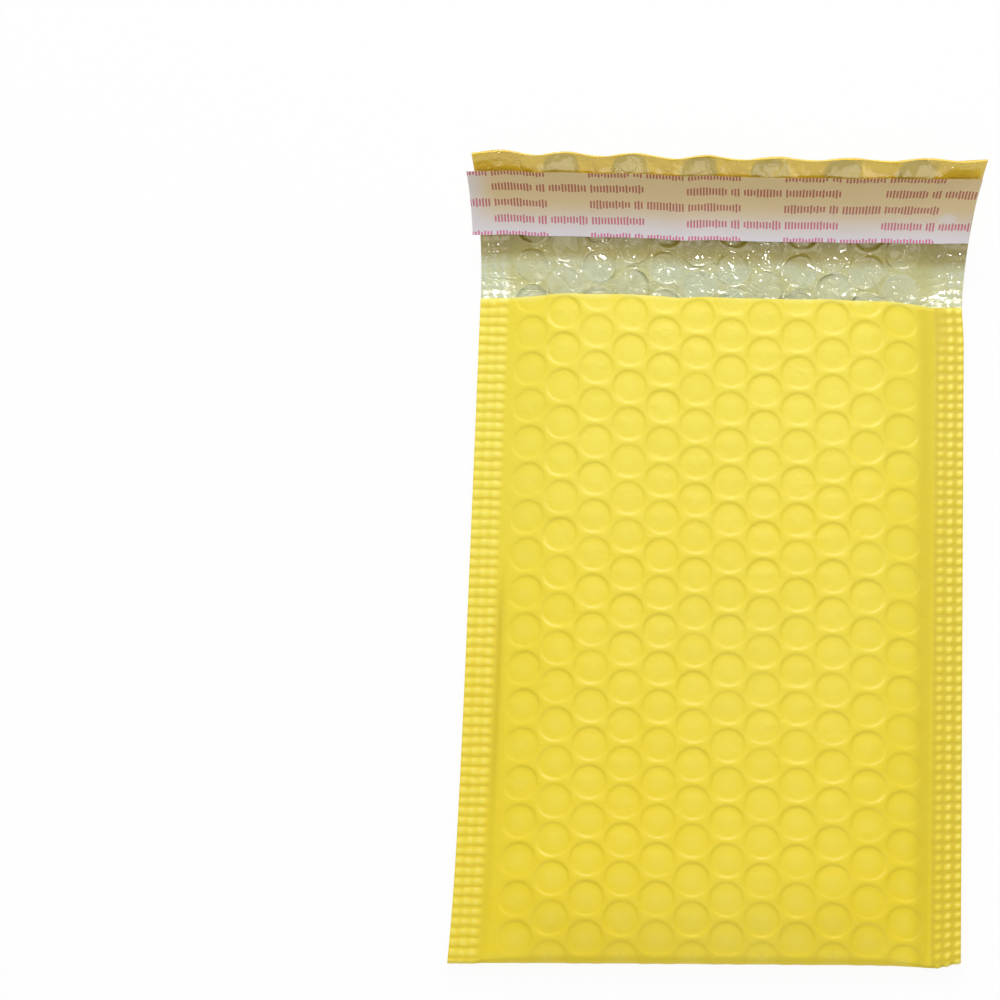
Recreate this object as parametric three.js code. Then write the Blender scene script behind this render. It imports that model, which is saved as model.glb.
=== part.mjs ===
// Padded envelope, lying on its back panel with the flap curled up.
// Units are millimetres, +Z is up, +Y runs from the bottom fold to the flap.

import * as THREE from 'three';
import { mergeVertices } from 'three/addons/utils/BufferGeometryUtils.js';

// Envelope
const WIDTH = 150;              // across, over the side seals
const PANEL_LENGTH = 211;       // bottom fold to mouth
const FLAP_LENGTH = 48;         // along the curl
const FLAP_RADIUS = 47;         // curl of the flap
const FLAP_SPREAD = 4;          // the web is this much wider at the flap's end
const FLAP_WAVE = 0.6;          // scalloped end of the flap
const FLAP_RUN = 24;            // the lift of the seals dies out over this length

// Layers
const FILM = 0.45;
const LINING = 2.15;
const LINING_IN_SEAL = 0.35;
const POCKET_GAP = 4.8;

// Side seals
const SEAL_WIDTH = 9;
const SEAL_BOTTOM = 2.2;        // underside of the seal above the floor
const RIB_HEIGHT = 0.15;
const RIB_PITCH = 3;            // front panel
const BACK_RIB_PITCH = 6;

// Shape of the panels
const SHOULDER = 30;            // front panel: seal or fold to full height
const BACK_SHOULDER = 14;       // back panel: seal to the floor
const FOLD_RADIUS = 3;          // bottom fold, in the middle
const FOLD_LIFT = 0.3;          // the fold stands this far off the floor
const FOLD_RUN = 25;            // back panel: fold to the floor
const POCKET_RUN = 20;          // the pocket opens over this length
const ROUNDING = 2.5;           // how soon the shoulders level out

// Bubble lattice: alternate columns are half a pitch on
const PITCH = 12;
const FIRST_ROW = 1;            // lattice row nearest the fold
const LEAN = -0.015;            // the lattice runs slightly askew
const BUBBLE_GAP = 0.6;         // between neighbouring bubbles
const PLAIN_BAND = 2.5;         // least flat band beside a seal
const DISH_FLOOR = 0.15;        // film left under a dish
const LINING_DISH = 0.3;        // depth of the dishes in the lining

// Release liner and adhesive on the flap
const LINER_START = 18.4;       // from the mouth, along the curl
const LINER_WIDTH = 22.5;
const LINER_OVERHANG = 2.5;     // past each side of the envelope
const LINER_THICKNESS = 0.25;
const LINER_LIFT = 0.8;         // the lower edge stands free
const ADHESIVE_WIDTH = 15;
const ADHESIVE_INSET = 4;       // from each side of the envelope
const ADHESIVE_THICKNESS = 0.35;
const SLIP = 0.2;               // clearance between the stacked strips

const HALF = WIDTH / 2;
const SEAL_EDGE = HALF - SEAL_WIDTH;
const SEAL_TOP = SEAL_BOTTOM + 2 * (FILM + LINING_IN_SEAL);
const SEAL_MID = (SEAL_BOTTOM + SEAL_TOP) / 2;
const THICKNESS = 2 * (FILM + LINING) + POCKET_GAP;
const FLAP_FACE = FILM + LINING;
const DISH_DEPTH = FILM - DISH_FLOOR;
const END = PANEL_LENGTH + FLAP_LENGTH;

const COLUMN_SPACING = PITCH * Math.sqrt(3) / 2;
const COLUMNS = 2 * Math.floor((SEAL_EDGE - PLAIN_BAND) / COLUMN_SPACING);
const BUBBLE_RADIUS = (COLUMN_SPACING - BUBBLE_GAP) / 2;
const MOUTH_ROW = Math.round((PANEL_LENGTH - FIRST_ROW) / (PITCH / 2));
const STEP = (PANEL_LENGTH - FIRST_ROW) / MOUTH_ROW;
const FLAP_STEPS = Math.round(FLAP_LENGTH / (PITCH / 2));
const FLAP_STEP = FLAP_LENGTH / FLAP_STEPS;
const END_ROW = MOUTH_ROW + FLAP_STEPS;

const rowAt = (j) =>
  (j <= MOUTH_ROW ? FIRST_ROW + STEP * j : PANEL_LENGTH + FLAP_STEP * (j - MOUTH_ROW));
const edgeAt = (i, w) =>
  (i - COLUMNS / 2) * COLUMN_SPACING + LEAN * (Math.min(w, PANEL_LENGTH) - PANEL_LENGTH / 2);
const range = (from, to) => Array.from({ length: to - from + 1 }, (_, k) => from + k);
const ramp = (t) => Math.min(1, Math.max(0, t));
const add = (p, q, k) => [p[0] + q[0] * k, p[1] + q[1] * k, p[2] + q[2] * k];
const mix = (p, q, k) => [0, 1, 2].map((n) => p[n] + (q[n] - p[n]) * k);

// Height profiles

const level = (t) => 1 - (1 - ramp(t)) ** ROUNDING;
const swell = (x, reach) => level((SEAL_EDGE - Math.abs(x)) / reach);

// Radius and centre height of the bottom fold
function foldRadius(x) {
  const inSeal = (SEAL_TOP - SEAL_BOTTOM) / 2;
  return inSeal + (FOLD_RADIUS - inSeal) * swell(x, SHOULDER);
}

function foldCentre(x) {
  return SEAL_MID + (FOLD_LIFT + FOLD_RADIUS - SEAL_MID) * swell(x, SHOULDER);
}

function frontHeight(x, y) {
  const r = foldRadius(x);
  const rise = THICKNESS - 2 * FOLD_RADIUS - FOLD_LIFT;
  return foldCentre(x) + r + rise * swell(x, SHOULDER) * level((y - r) / SHOULDER);
}

function backHeight(x, y) {
  const near = foldCentre(x) - foldRadius(x);
  const far = SEAL_BOTTOM * (1 - swell(x, BACK_SHOULDER));
  return far + (near - far) * (1 - ramp((y - foldRadius(x)) / FOLD_RUN)) ** 2;
}

// Height of a layer at depth `inset` under the outside, round the fold too
function layerHeight(x, y, side, inset) {
  const r = foldRadius(x);
  if (y >= r) return side > 0 ? frontHeight(x, y) - inset : backHeight(x, y) + inset;
  const inner = r - inset;
  return foldCentre(x) + side * inner * Math.sqrt(ramp(1 - ((r - y) / inner) ** 2));
}

// Surfaces: every one takes x across and w along the sheet ----------------

function curl(w) {
  return Math.max(0, w - PANEL_LENGTH) / FLAP_RADIUS;
}

function normalAt(w) {
  const a = curl(w);
  return [0, -Math.sin(a), Math.cos(a)];
}

function wave(x, w) {
  const near = ramp((w - rowAt(END_ROW - 1)) / FLAP_STEP);
  return near * FLAP_WAVE * Math.cos(Math.PI * x / COLUMN_SPACING);
}

function onWeb(x, w, offset) {
  const a = curl(w);
  const wide = x * (1 + FLAP_SPREAD / WIDTH * Math.max(0, w - PANEL_LENGTH) / FLAP_LENGTH);
  const base = [wide, Math.min(w, PANEL_LENGTH) + FLAP_RADIUS * Math.sin(a),
    FLAP_RADIUS * (1 - Math.cos(a))];
  return add(base, normalAt(w), offset);
}

const flapFade = (w) => (1 - ramp((w - PANEL_LENGTH) / FLAP_RUN)) ** 2;

const frontOut = (x, y) => [x, y, layerHeight(x, y, 1, 0)];
const frontIn = (x, y) => [x, y, layerHeight(x, y, 1, FILM)];

function backLayer(x, w, inset) {
  if (w <= PANEL_LENGTH) return [x, w, layerHeight(x, w, -1, inset)];
  const lift = backHeight(x, PANEL_LENGTH) * flapFade(w);
  return onWeb(x, w, lift + inset + wave(x, w));
}

const backOut = (x, w) => backLayer(x, w, 0);
const backIn = (x, w) => backLayer(x, w, FILM);

// Half the height of the pocket; none at the seals and at the bottom
function pocketHalf(x, y) {
  const half = (frontIn(x, y)[2] - backIn(x, y)[2]) / 2;
  const full = THICKNESS / 2 - FILM;
  const share = ramp((half - LINING_IN_SEAL) / (full - LINING_IN_SEAL));
  return POCKET_GAP / 2 * share * (1 - (1 - ramp((y - rowAt(1)) / POCKET_RUN)) ** 2);
}

function pocketMid(x, y) {
  return (frontIn(x, y)[2] + backIn(x, y)[2]) / 2;
}

const pocketFront = (x, y) => [x, y, pocketMid(x, y) + pocketHalf(x, y)];

function pocketBack(x, w) {
  const y = Math.min(w, PANEL_LENGTH);
  const height = pocketMid(x, y) - pocketHalf(x, y);
  if (w <= PANEL_LENGTH) return [x, w, height];
  const floor = backHeight(x, PANEL_LENGTH);
  const layer = FILM + LINING_IN_SEAL + (LINING - LINING_IN_SEAL) * swell(x, BACK_SHOULDER);
  const share = ramp((w - PANEL_LENGTH) / PITCH);
  const cover = (height - floor) * (1 - share) + layer * share;
  return onWeb(x, w, floor * flapFade(w) + cover + wave(x, w));
}

// Mesh building

class Shell {
  constructor() {
    this.corners = [];
  }

  tri(a, b, c, flip) {
    const same = (p, q) => Math.hypot(p[0] - q[0], p[1] - q[1], p[2] - q[2]) < 1e-6;
    if (same(a, b) || same(b, c) || same(c, a)) return;
    this.corners.push(...(flip ? [a, c, b] : [a, b, c]));
  }

  // Strip between two lines of points, each point carrying its place along
  zip(lower, upper, flip) {
    let a = 0;
    let b = 0;
    while (a < lower.length - 1 || b < upper.length - 1) {
      const nextA = a < lower.length - 1 ? lower[a + 1].at : Infinity;
      const nextB = b < upper.length - 1 ? upper[b + 1].at : Infinity;
      if (nextA <= nextB) {
        this.tri(lower[a].p, lower[a + 1].p, upper[b].p, flip);
        a += 1;
      } else {
        this.tri(lower[a].p, upper[b + 1].p, upper[b].p, flip);
        b += 1;
      }
    }
  }

  rows(lines, flip) {
    for (let k = 0; k + 1 < lines.length; k += 1) this.zip(lines[k], lines[k + 1], flip);
  }

  // One staggered cell: an outline of six lattice points round a sunk ring
  cell(surface, i, j, sides, lift, flip) {
    const left = [0, 1, 2].map((n) => surface(edgeAt(i, rowAt(j + n)), rowAt(j + n)));
    const right = [0, 1, 2].map((n) => surface(edgeAt(i + 1, rowAt(j + n)), rowAt(j + n)));
    const outline = [
      { p: right[1], at: 0 }, { p: right[2], at: 0.27 * Math.PI },
      { p: left[2], at: 0.73 * Math.PI }, { p: left[1], at: Math.PI },
      { p: left[0], at: 1.27 * Math.PI }, { p: right[0], at: 1.73 * Math.PI },
    ];
    const turn = sides === 6 ? 0 : Math.PI / sides;
    const ring = range(0, sides - 1).map((k) => {
      const angle = turn + 2 * Math.PI * k / sides;
      const across = 0.5 + Math.cos(angle) * BUBBLE_RADIUS / COLUMN_SPACING;
      const up = 1 + Math.sin(angle) * BUBBLE_RADIUS / STEP;
      const n = up < 1 ? 0 : 1;
      const p = mix(mix(left[n], left[n + 1], up - n), mix(right[n], right[n + 1], up - n), across);
      return { p: add(p, normalAt(rowAt(j) + up * STEP), lift), at: angle };
    });
    const close = (loop) => [...loop, { p: loop[0].p, at: loop[0].at + 2 * Math.PI }];
    this.zip(close(outline), close(ring), flip);
    for (let k = 1; k + 1 < sides; k += 1) this.tri(ring[0].p, ring[k].p, ring[k + 1].p, flip);
  }

  // All columns of cells between two lattice rows
  bubbles(surface, first, last, sides, lift, flip) {
    for (let i = 0; i < COLUMNS; i += 1) {
      let j = first;
      while (j < last) {
        if ((j + i) % 2 === 0 && j + 2 <= last) {
          this.cell(surface, i, j, sides, lift, flip);
          j += 2;
        } else {
          const line = (row) => [i, i + 1].map((n) => {
            const x = edgeAt(n, rowAt(row));
            return { p: surface(x, rowAt(row)), at: x };
          });
          this.zip(line(j), line(j + 1), flip);
          j += 1;
        }
      }
    }
  }

  geometry() {
    const raw = new THREE.BufferGeometry();
    raw.setAttribute('position', new THREE.Float32BufferAttribute(this.corners.flat(), 3));
    const welded = mergeVertices(raw, 1e-4);
    welded.computeVertexNormals();
    return welded;
  }
}

// Lines of points across the sheet
const ALL_EDGES = range(0, COLUMNS);
const FEW_EDGES = [0, 1, 2, COLUMNS / 2, COLUMNS - 2, COLUMNS - 1, COLUMNS];

function across(surface, w, edges, withSeals = true) {
  const xs = [-SEAL_EDGE, ...edges.map((i) => edgeAt(i, w)), SEAL_EDGE];
  if (withSeals) {
    xs.unshift(-HALF);
    xs.push(HALF);
  }
  return xs.map((x) => ({ p: surface(x, w), at: x }));
}

// Lines of points along the sheet, at a fixed or a lattice position across
const along = (surface, places, xAt) => places.map((w) => ({ p: surface(xAt(w), w), at: w }));

function ribPlaces(pitch) {
  const count = Math.round(2 * (PANEL_LENGTH - FIRST_ROW) / pitch);
  return range(0, count).map((k) => FIRST_ROW + k * (PANEL_LENGTH - FIRST_ROW) / count);
}

// Seal surface with ribs on the panel, plain on the flap
function sealSurface(surface, places, sign) {
  return (x, w) => {
    const k = places.indexOf(w);
    const rib = k > 0 && k < places.length - 1 ? RIB_HEIGHT * (k % 2 ? 1 : -1) : 0;
    return add(surface(x, w), normalAt(w), sign * rib);
  };
}

const FRONT_ROWS = [0, 1, 2, 3, 5, MOUTH_ROW].map(rowAt);
const BACK_ROWS = [0, 1, 3, 5, MOUTH_ROW].map(rowAt);
const FLAP_ROWS = [...range(1, FLAP_STEPS - 2).filter((n) => n % 2 === 0), FLAP_STEPS - 1, FLAP_STEPS]
  .map((n) => rowAt(MOUTH_ROW + n));

// The face the film and the lining share, from the front's mouth to the flap
function sharedLines() {
  const few = (surface, w) => across(surface, w, FEW_EDGES);
  const atFold = (w) => across(() => null, FIRST_ROW, FEW_EDGES)
    .map(({ at }) => ({ p: [at, w, foldCentre(at)], at }));
  return [
    ...FRONT_ROWS.slice().reverse().map((w) => few(frontIn, w)),
    atFold(FILM),
    ...BACK_ROWS.map((w) => few(backIn, w)),
    ...FLAP_ROWS.slice(0, -2).map((w) => few(backIn, w)),
    ...FLAP_ROWS.slice(-2).map((w) => across(backIn, w, ALL_EDGES)),
  ];
}

function outerFilm() {
  const shell = new Shell();
  const panels = [
    { surface: frontOut, end: MOUTH_ROW, sides: 8, lift: -DISH_DEPTH, pitch: RIB_PITCH, sign: 1, flip: false },
    { surface: backOut, end: END_ROW, sides: 6, lift: DISH_DEPTH, pitch: BACK_RIB_PITCH, sign: -1, flip: true },
  ];
  const rims = [];
  for (const { surface, end, sides, lift, pitch, sign, flip } of panels) {
    shell.bubbles(surface, 0, end, sides, lift, flip);
    const ribs = ribPlaces(pitch);
    const seal = sealSurface(surface, ribs, sign);
    const fine = [...ribs, ...range(MOUTH_ROW + 1, end).map(rowAt)];
    const coarse = range(0, end).map(rowAt);
    const rim = {};
    for (const side of [-1, 1]) {
      const column = side < 0 ? 0 : COLUMNS;
      const inside = along(surface, coarse, (w) => edgeAt(column, w));
      const edge = along(seal, fine, () => side * SEAL_EDGE);
      const outside = along(seal, fine, () => side * HALF);
      shell.rows([inside, edge, outside], flip !== (side > 0));
      rim[side] = outside;
    }
    rims.push(rim);
  }

  // Bottom fold
  const full = across(() => null, FIRST_ROW, ALL_EDGES).map(({ at }) => at);
  const foldLine = (w, side) => full.map((x) => ({ p: [x, w, layerHeight(x, w, side, 0)], at: x }));
  const fold = [foldLine(FIRST_ROW, 1), foldLine(0.35, 1), foldLine(0, 1), foldLine(0.35, -1), foldLine(FIRST_ROW, -1)];
  shell.rows(fold, true);

  // Face towards the lining
  const shared = sharedLines();
  shell.rows(shared, false);

  // Edges: mouth of the front panel, end of the flap, both sides
  shell.zip(across(frontOut, PANEL_LENGTH, ALL_EDGES), shared[0], false);
  shell.zip(across(backOut, END, ALL_EDGES), shared.at(-1), true);
  const ends = (line, side) => (side < 0 ? line[0].p : line.at(-1).p);
  for (const side of [-1, 1]) {
    const outer = [
      ...rims[0][side].slice().reverse().map(({ p, at }) => ({ p, at: -at })),
      ...fold.slice(1, -1).map((line, k) => ({ p: ends(line, side), at: (k - 1) * 0.35 })),
      ...rims[1][side],
    ];
    const places = [...FRONT_ROWS.slice().reverse().map((w) => -w), 0, ...BACK_ROWS, ...FLAP_ROWS];
    const inner = shared.map((line, k) => ({ p: ends(line, side), at: places[k] }));
    shell.zip(outer, inner, side < 0);
  }
  return shell.geometry();
}

function bubbleLining() {
  const shell = new Shell();
  const shared = sharedLines();
  shell.rows(shared, true);

  // Pocket: its two faces meet along the seals and at the bottom
  const pocketRows = [1, 2, 3, 5].map(rowAt);
  const few = (surface, w) => across(surface, w, FEW_EDGES, false);
  const frontFace = [...pocketRows, PANEL_LENGTH].map((w) => few(pocketFront, w));
  const backFace = [...pocketRows.map((w) => few(pocketBack, w)), across(pocketBack, PANEL_LENGTH, ALL_EDGES, false)];
  shell.rows(frontFace, true);
  shell.rows(backFace, false);

  // Flap: bubbles either side of the covered band, then the side margins
  const below = MOUTH_ROW + Math.ceil(LINER_START / FLAP_STEP);
  const above = MOUTH_ROW + Math.floor((LINER_START + LINER_WIDTH) / FLAP_STEP);
  shell.bubbles(pocketBack, MOUTH_ROW, below, 6, -LINING_DISH, false);
  shell.rows(range(below, above).map((j) => across(pocketBack, rowAt(j), ALL_EDGES, false).slice(1, -1)), false);
  shell.bubbles(pocketBack, above, END_ROW, 6, -LINING_DISH, false);
  const places = range(MOUTH_ROW, END_ROW).map(rowAt);
  const margins = {};
  for (const side of [-1, 1]) {
    const column = side < 0 ? 0 : COLUMNS;
    const inside = along(pocketBack, places, (w) => edgeAt(column, w));
    const edge = along(pocketBack, places, () => side * SEAL_EDGE);
    const outside = along(pocketBack, places, () => side * HALF);
    shell.rows([inside, edge, outside], side > 0);
    margins[side] = outside;
  }

  // Rim of the front layer and end of the flap
  const rim = frontFace.at(-1).slice();
  rim.unshift({ p: margins[-1][0].p, at: -HALF });
  rim.push({ p: margins[1][0].p, at: HALF });
  shell.zip(shared[0], rim, false);
  shell.zip(shared.at(-1), across(pocketBack, END, ALL_EDGES), true);

  // Sides
  const ends = (line, side) => (side < 0 ? line[0].p : line.at(-1).p);
  const foldLine = FRONT_ROWS.length;
  for (const side of [-1, 1]) {
    const front = shared.slice(0, foldLine + 1).reverse()
      .map((line, k) => ({ p: ends(line, side), at: k === 0 ? 0 : FRONT_ROWS[k - 1] }));
    const back = shared.slice(foldLine, foldLine + 1 + BACK_ROWS.length)
      .map((line, k) => ({ p: ends(line, side), at: k === 0 ? 0 : BACK_ROWS[k - 1] }));
    back.push({ p: margins[side][0].p, at: PANEL_LENGTH });
    front.at(-1).at = PANEL_LENGTH + 0.1;
    shell.zip(back, front, side < 0);
    const flapOuter = shared.slice(foldLine + BACK_ROWS.length)
      .map((line, k) => ({ p: ends(line, side), at: [PANEL_LENGTH, ...FLAP_ROWS][k] }));
    shell.zip(flapOuter, margins[side], side < 0);
  }
  return shell.geometry();
}

// A strip that follows the curl of the flap
function strip({ start, width, length, thickness, offset, columns, rows, lift }) {
  const shell = new Shell();
  const w = (k) => PANEL_LENGTH + start + width * k / rows;
  const x = (n) => length * (n / columns - 0.5);
  const layer = (height) => range(0, rows).map((k) => range(0, columns).map((n) => {
    const free = lift * (1 - k / rows) ** 2;
    const [, y, z] = onWeb(0, w(k), offset + free + height);
    return { p: [x(n), y, z], at: x(n) };
  }));
  const lower = layer(0);
  const upper = layer(thickness);
  shell.rows(upper, false);
  shell.rows(lower, true);
  shell.zip(lower[0], upper[0], false);
  shell.zip(lower[rows], upper[rows], true);
  const side = (lines, n) => lines.map((line, k) => ({ p: line.at(n).p, at: k }));
  shell.zip(side(lower, 0), side(upper, 0), true);
  shell.zip(side(lower, -1), side(upper, -1), false);
  return shell.geometry();
}

function adhesiveStrip() {
  return strip({ start: LINER_START + (LINER_WIDTH - ADHESIVE_WIDTH) / 2, width: ADHESIVE_WIDTH,
    length: WIDTH - 2 * ADHESIVE_INSET, thickness: ADHESIVE_THICKNESS,
    offset: FLAP_FACE + SLIP, columns: 2, rows: 3, lift: 0 });
}

function releaseLiner() {
  return strip({ start: LINER_START, width: LINER_WIDTH,
    length: WIDTH + 2 * LINER_OVERHANG, thickness: LINER_THICKNESS,
    offset: FLAP_FACE + ADHESIVE_THICKNESS + 2 * SLIP, columns: 4, rows: 5, lift: LINER_LIFT });
}

function piece(name, geometry, color, roughness) {
  const mesh = new THREE.Mesh(geometry, new THREE.MeshStandardMaterial({ color, roughness, metalness: 0 }));
  mesh.name = name;
  return mesh;
}

const envelope = new THREE.Group();
envelope.name = 'padded_envelope';
envelope.add(
  piece('outer_film', outerFilm(), 0xf0d750, 0.35),
  piece('bubble_lining', bubbleLining(), 0xd3d6bb, 0.3),
  piece('adhesive_strip', adhesiveStrip(), 0xe8e0c4, 0.5),
  piece('release_liner', releaseLiner(), 0xe2d8de, 0.3),
);

// The origin is the middle of the underside
const box = new THREE.Box3().setFromObject(envelope);
for (const mesh of envelope.children) mesh.position.y = -(box.min.y + box.max.y) / 2;

export default envelope;
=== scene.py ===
"""Padded envelope on its back: yellow film outside, bubble lining inside, flap curled up."""

import logging
import math
from dataclasses import dataclass, field
from enum import Enum
from typing import Callable, Iterable, Sequence

import bmesh
import bpy
import numpy as np
from mathutils import Matrix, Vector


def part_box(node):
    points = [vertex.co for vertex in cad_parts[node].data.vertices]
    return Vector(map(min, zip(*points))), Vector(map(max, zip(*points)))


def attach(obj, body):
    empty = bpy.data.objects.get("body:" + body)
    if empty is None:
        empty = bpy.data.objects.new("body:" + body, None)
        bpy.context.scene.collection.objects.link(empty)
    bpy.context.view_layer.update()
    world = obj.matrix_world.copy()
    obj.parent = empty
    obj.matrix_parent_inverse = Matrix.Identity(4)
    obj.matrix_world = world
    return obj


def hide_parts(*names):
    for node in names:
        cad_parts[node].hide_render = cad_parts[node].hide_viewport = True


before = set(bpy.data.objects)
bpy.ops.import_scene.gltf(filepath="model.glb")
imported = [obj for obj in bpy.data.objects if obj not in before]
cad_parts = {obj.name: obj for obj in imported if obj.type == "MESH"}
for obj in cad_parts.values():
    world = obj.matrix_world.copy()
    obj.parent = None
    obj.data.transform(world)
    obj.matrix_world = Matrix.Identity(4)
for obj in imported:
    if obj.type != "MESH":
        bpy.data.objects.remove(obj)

LOG = logging.getLogger("padded_envelope")
MM = 0.001
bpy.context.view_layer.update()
# From the bottom fold to the frame's origin, in millimetres
ORIGIN = -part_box("outer_film")[0][1] / MM

Array = np.ndarray
Colour = tuple[float, float, float]


def ramp(value: Array | float) -> Array:
    """Return the value held between 0 and 1."""
    return np.clip(value, 0.0, 1.0)


def smooth(low: float, high: float, value: Array) -> Array:
    """Return a soft step from 0 at low to 1 at high."""
    t = ramp((value - low) / (high - low))
    return t * t * (3.0 - 2.0 * t)


def spaced(start: float, stop: float, step: float) -> Array:
    """Return evenly spaced places from start to stop."""
    return np.linspace(start, stop, max(1, round(abs(stop - start) / step)) + 1)


class Side(Enum):
    """Which half of a bubble cell a patch covers."""

    WHOLE = "whole"
    UPPER = "upper"
    LOWER = "lower"


@dataclass(frozen=True)
class Unevenness:
    """Soft random relief over a flat field, the same on every run."""

    scale: float
    seed: int
    cells: int = 64
    shift: tuple[float, float] = (900.37, 900.71)

    def __call__(self, x: Array, w: Array) -> Array:
        """Sample the relief.

        Args:
            x: Places across, in millimetres.
            w: Places along, in millimetres.

        Returns:
            Values between about -1 and 1.
        """
        rng = np.random.default_rng(self.seed)
        table = rng.uniform(-1.0, 1.0, (self.cells, self.cells))
        u, v = (place / self.scale + shift for place, shift in zip((x, w), self.shift))
        i, j = np.floor(u).astype(int), np.floor(v).astype(int)
        a, b = smooth(0.0, 1.0, u - i), smooth(0.0, 1.0, v - j)

        def at(p: Array, q: Array) -> Array:
            """Look up the table, which repeats."""
            return table[p % self.cells, q % self.cells]

        low = at(i, j) * (1 - a) + at(i + 1, j) * a
        high = at(i, j + 1) * (1 - a) + at(i + 1, j + 1) * a
        return low * (1 - b) + high * b


@dataclass(frozen=True)
class Web:
    """The folded sheet, in millimetres: x across, v along.

    v runs from minus the panel length at the front's mouth, through 0 at the
    bottom fold, up the back panel and on to the end of the flap.
    """

    width: float = 150.0
    panel: float = 211.0
    flap: float = 48.0
    flap_radius: float = 50.0
    flap_stretch: float = 1.034
    flap_spread: tuple[float, float] = (3.0, 7.4)
    flap_wave: float = 0.85
    wave_length: float = 20.9
    wave_start: float = 4.5
    wave_run: float = 9.0
    flap_run: float = 24.0
    film: float = 0.45
    core: float = 1.15
    lip: float = 0.16
    lining: float = 2.15
    lining_in_seal: float = 0.35
    pocket_gap: float = 4.8
    seal: float = 9.0
    seal_bottom: float = 2.2
    shoulder: float = 30.0
    back_shoulder: float = 14.0
    fold_radius: float = 3.0
    fold_lift: float = 0.3
    fold_run: float = 25.0
    pocket_end: float = 7.0
    pocket_run: float = 20.0
    lining_run: float = 12.0
    end_thinning: float = 1.75
    rounding: float = 2.5

    @property
    def half(self) -> float:
        """Half the width."""
        return self.width / 2

    @property
    def seal_edge(self) -> float:
        """Distance from the middle to a seal's inner edge."""
        return self.half - self.seal

    @property
    def seal_top(self) -> float:
        """Height of the seal's upper face."""
        return self.seal_bottom + 2 * (self.film + self.lining_in_seal)

    @property
    def end(self) -> float:
        """Length of the sheet from the fold to the flap's end."""
        return self.panel + self.flap

    @property
    def thickness(self) -> float:
        """Height over both panels in the middle."""
        return 2 * (self.film + self.lining) + self.pocket_gap

    def level(self, t: Array) -> Array:
        """Return the shoulder profile, from 0 to 1."""
        return 1 - (1 - ramp(t)) ** self.rounding

    def swell(self, x: Array, reach: float) -> Array:
        """Return how far a panel has risen from its seal at x."""
        return self.level((self.seal_edge - np.abs(x)) / reach)

    def fold(self, x: Array) -> tuple[Array, Array]:
        """Find the bottom fold's arc.

        Args:
            x: Places across.

        Returns:
            Its radius and the height of its centre.
        """
        rise = self.swell(x, self.shoulder)
        in_seal = (self.seal_top - self.seal_bottom) / 2
        mid = (self.seal_top + self.seal_bottom) / 2
        radius = in_seal + (self.fold_radius - in_seal) * rise
        return radius, mid + (self.fold_lift + self.fold_radius - mid) * rise

    def front_height(self, x: Array, y: Array) -> Array:
        """Find the front panel's outside.

        Args:
            x: Places across.
            y: Places along from the fold.

        Returns:
            Its height.
        """
        radius, centre = self.fold(x)
        rise = self.thickness - 2 * self.fold_radius - self.fold_lift
        along = self.level((y - radius) / self.shoulder)
        return centre + radius + rise * self.swell(x, self.shoulder) * along

    def back_height(self, x: Array, y: Array) -> Array:
        """Find the back panel's outside.

        Args:
            x: Places across.
            y: Places along from the fold.

        Returns:
            Its height.
        """
        radius, centre = self.fold(x)
        far = self.seal_bottom * (1 - self.swell(x, self.back_shoulder))
        near = centre - radius
        return far + (near - far) * (1 - ramp((y - radius) / self.fold_run)) ** 2

    def wave(self, x: Array, v: Array) -> Array:
        """Return the scallops of the flap's end."""
        near = smooth(self.end - self.wave_run, self.end, v)
        return -near * self.flap_wave * np.cos(2 * math.pi * (x + self.wave_start) / self.wave_length)

    def settled(self, x: Array, v: Array) -> Array:
        """Lift the flap's start to the back panel's height at the mouth.

        Args:
            x: Places across.
            v: Places along.

        Returns:
            The lift, 0 from the flap's run on.
        """
        at_mouth = self.back_height(x, np.full_like(x, self.panel))
        return at_mouth * (1 - ramp((v - self.panel) / self.flap_run)) ** 2

    def curled(self, x: Array, v: Array, offset: Array) -> Array:
        """Place points on the flap.

        Args:
            x: Places across.
            v: Places along.
            offset: Distance in from the flap's outside.

        Returns:
            Points, one row each.
        """
        s = np.maximum(0.0, v - self.panel) * self.flap_stretch
        a = s / self.flap_radius
        spread = np.where(x < 0, *self.flap_spread) / self.half
        wide = x * (1 + spread * (s / self.flap / self.flap_stretch) ** 1.7)
        y = self.panel + (self.flap_radius - offset) * np.sin(a)
        z = self.flap_radius - (self.flap_radius - offset) * np.cos(a)
        return np.stack([wide, y, z], -1)

    def warp(self, place: Array) -> Array:
        """Give the placed sheet its uneven outline: short right corner, high left mouth.

        Each line works on the places that the lines before it have moved.

        Args:
            place: Points, one row each, which are changed.

        Returns:
            The same points.
        """
        x, y = place[:, 0], place[:, 1]
        low, high = np.exp(-np.abs(y) / 30.0), smooth(60.0, self.panel, y)
        place[:, 1] += low * (1.1 + 1.1 * x / self.half)
        place[:, 1] -= 0.8 * np.exp(-((x - 66.0) / 9.0) ** 2) * np.exp(-np.abs(y) / 8.0)
        place[:, 1] += low * 1.2 * smooth(67.0, 75.0, x)
        place[:, 1] += high * 1.5 * smooth(20.0, -75.0, x)
        place[:, 1] += smooth(self.panel - 5.0, self.panel, y) * 0.4 * Unevenness(9.0, 8)(x, x * 0)
        place[:, 0] -= low * 1.85 * smooth(0.0, -75.0, x)
        below_mouth = smooth(self.panel + 1.0, self.panel - 12.0, y)
        place[:, 0] += below_mouth * (1.4 - 0.75 * ramp(y / self.panel)) * smooth(10.0, 75.0, x)
        return place

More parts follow.
